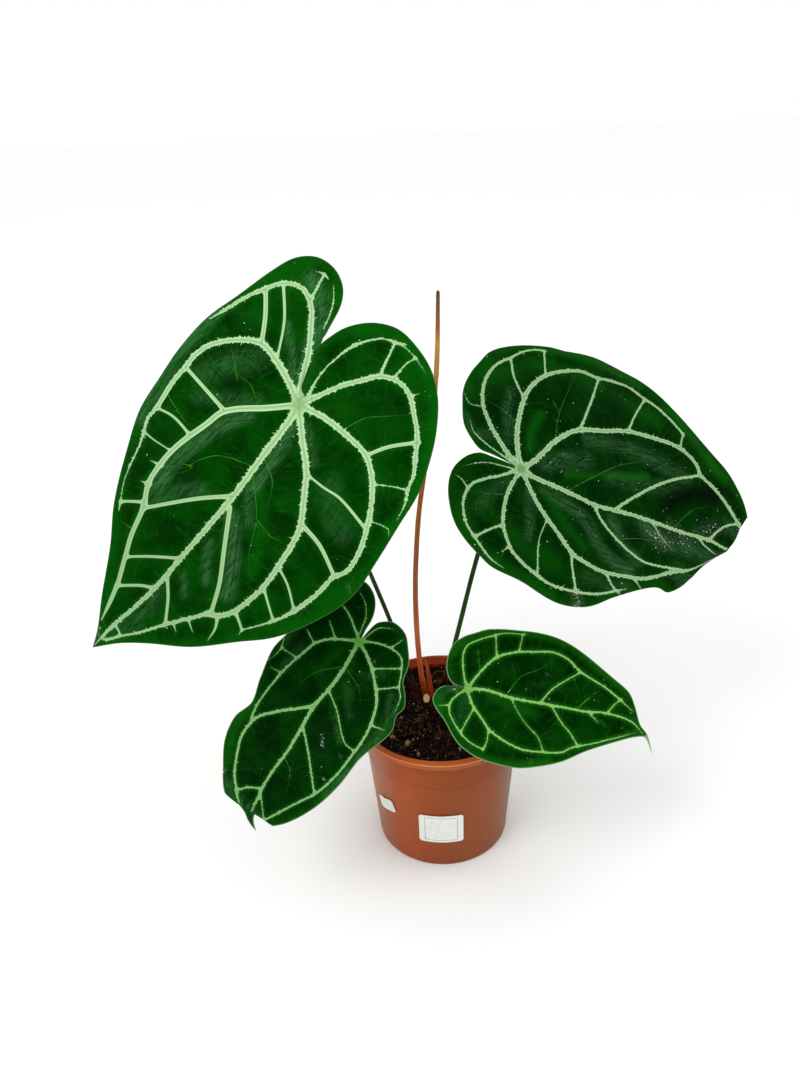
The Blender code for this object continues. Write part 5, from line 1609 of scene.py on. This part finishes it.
def set_camera():
    up_tilt, turn = math.radians(ELEVATION), math.radians(ROLL)
    away = Vector((0, math.cos(up_tilt), -math.sin(up_tilt)))
    flat = Vector((1, 0, 0))
    up = flat.cross(away)
    right = flat * math.cos(turn) + up * math.sin(turn)
    top = up * math.cos(turn) - flat * math.sin(turn)
    across, down = [place - side / 2 for place, side in zip(RIM_PIXEL, PHOTO)]
    toward = away + right * across / LENS_PIXELS - top * down / LENS_PIXELS
    spot = Vector((0, 0, POT_HEIGHT)) - toward * DISTANCE
    lens = bpy.data.cameras.new("photo camera")
    lens.sensor_fit = "VERTICAL"
    lens.sensor_height = SENSOR
    lens.lens = SENSOR * LENS_PIXELS / PHOTO[1]
    lens.clip_end = 30
    camera = link("photo_camera", lens)
    turned = Matrix((right, top, -away)).transposed().to_4x4()
    camera.matrix_world = Matrix.Translation(spot * MM) @ turned
    bpy.context.scene.camera = camera


def soft_light(name, place, size, power):
    lamp = bpy.data.lights.new(name, "AREA")
    lamp.shape = "SQUARE"
    lamp.size = size
    lamp.energy = power
    made = link(name, lamp)
    made.location = place
    made.rotation_euler = (Vector((0, 0, 0.2)) - Vector(place)).to_track_quat("-Z", "Y").to_euler()


def set_studio():
    world = bpy.data.worlds.new("studio")
    bpy.context.scene.world = world
    world.use_nodes = True
    world.node_tree.nodes["Background"].inputs[0].default_value = (1, 1, 1, 1)
    world.node_tree.nodes["Background"].inputs[1].default_value = 1.0
    soft_light("key_light", (-1.1, -1.0, 1.9), 0.9, 13)
    soft_light("fill_light", (1.6, -0.6, 1.2), 1.2, 2)
    deselect()
    bpy.ops.mesh.primitive_plane_add(size=8, location=(0, 0, -0.0005))
    floor = bpy.context.object
    floor.name = "floor"
    made = Finish("pale floor", roughness=0.8, specular=0.1)
    tone = made.noise(made.place(), 0.004, 2, 0.5)
    made.colour = made.blend(tone, (0.96, 0.96, 0.96, 1), (0.98, 0.98, 0.98, 1))
    floor.data.materials.append(made.done())
    bpy.context.scene.view_settings.view_transform = "Standard"


def main():
    set_camera()
    set_studio()
    for number, (name, look) in enumerate(LOOKS.items()):
        upper = leaf_upper_finish(f"{name} velvet", look)
        under = leaf_under_finish(f"{name} underside")
        rim = leaf_rim_finish(f"{name} rim", look["rim"])
        make_leaf(name, number + 3, [upper, under, rim])
    olive, dark, dry, sheath = [skin_finish(name) for name in SKINS]
    for number, name in enumerate(LEAF_STALKS):
        make_leaf_stalk(name, number + 1, dark if name == "leaf_2" else olive)
    make_flower_stem(dry)
    make_flower_spike(dry)
    bark = bark_finish()
    make_crown("crown_main", "main_crown", bark)
    make_crown("crown_second", "second_crown", bark)
    make_cut_stub([sheath, pith_finish()])
    make_sheath(sheath)
    make_pot(pot_finish())
    make_soil(soil_finish())
    make_label("label_front", paper_finish("framed label paper", LABELS["label_front"]))
    make_label("label_small", paper_finish("sticker paper"))


main()
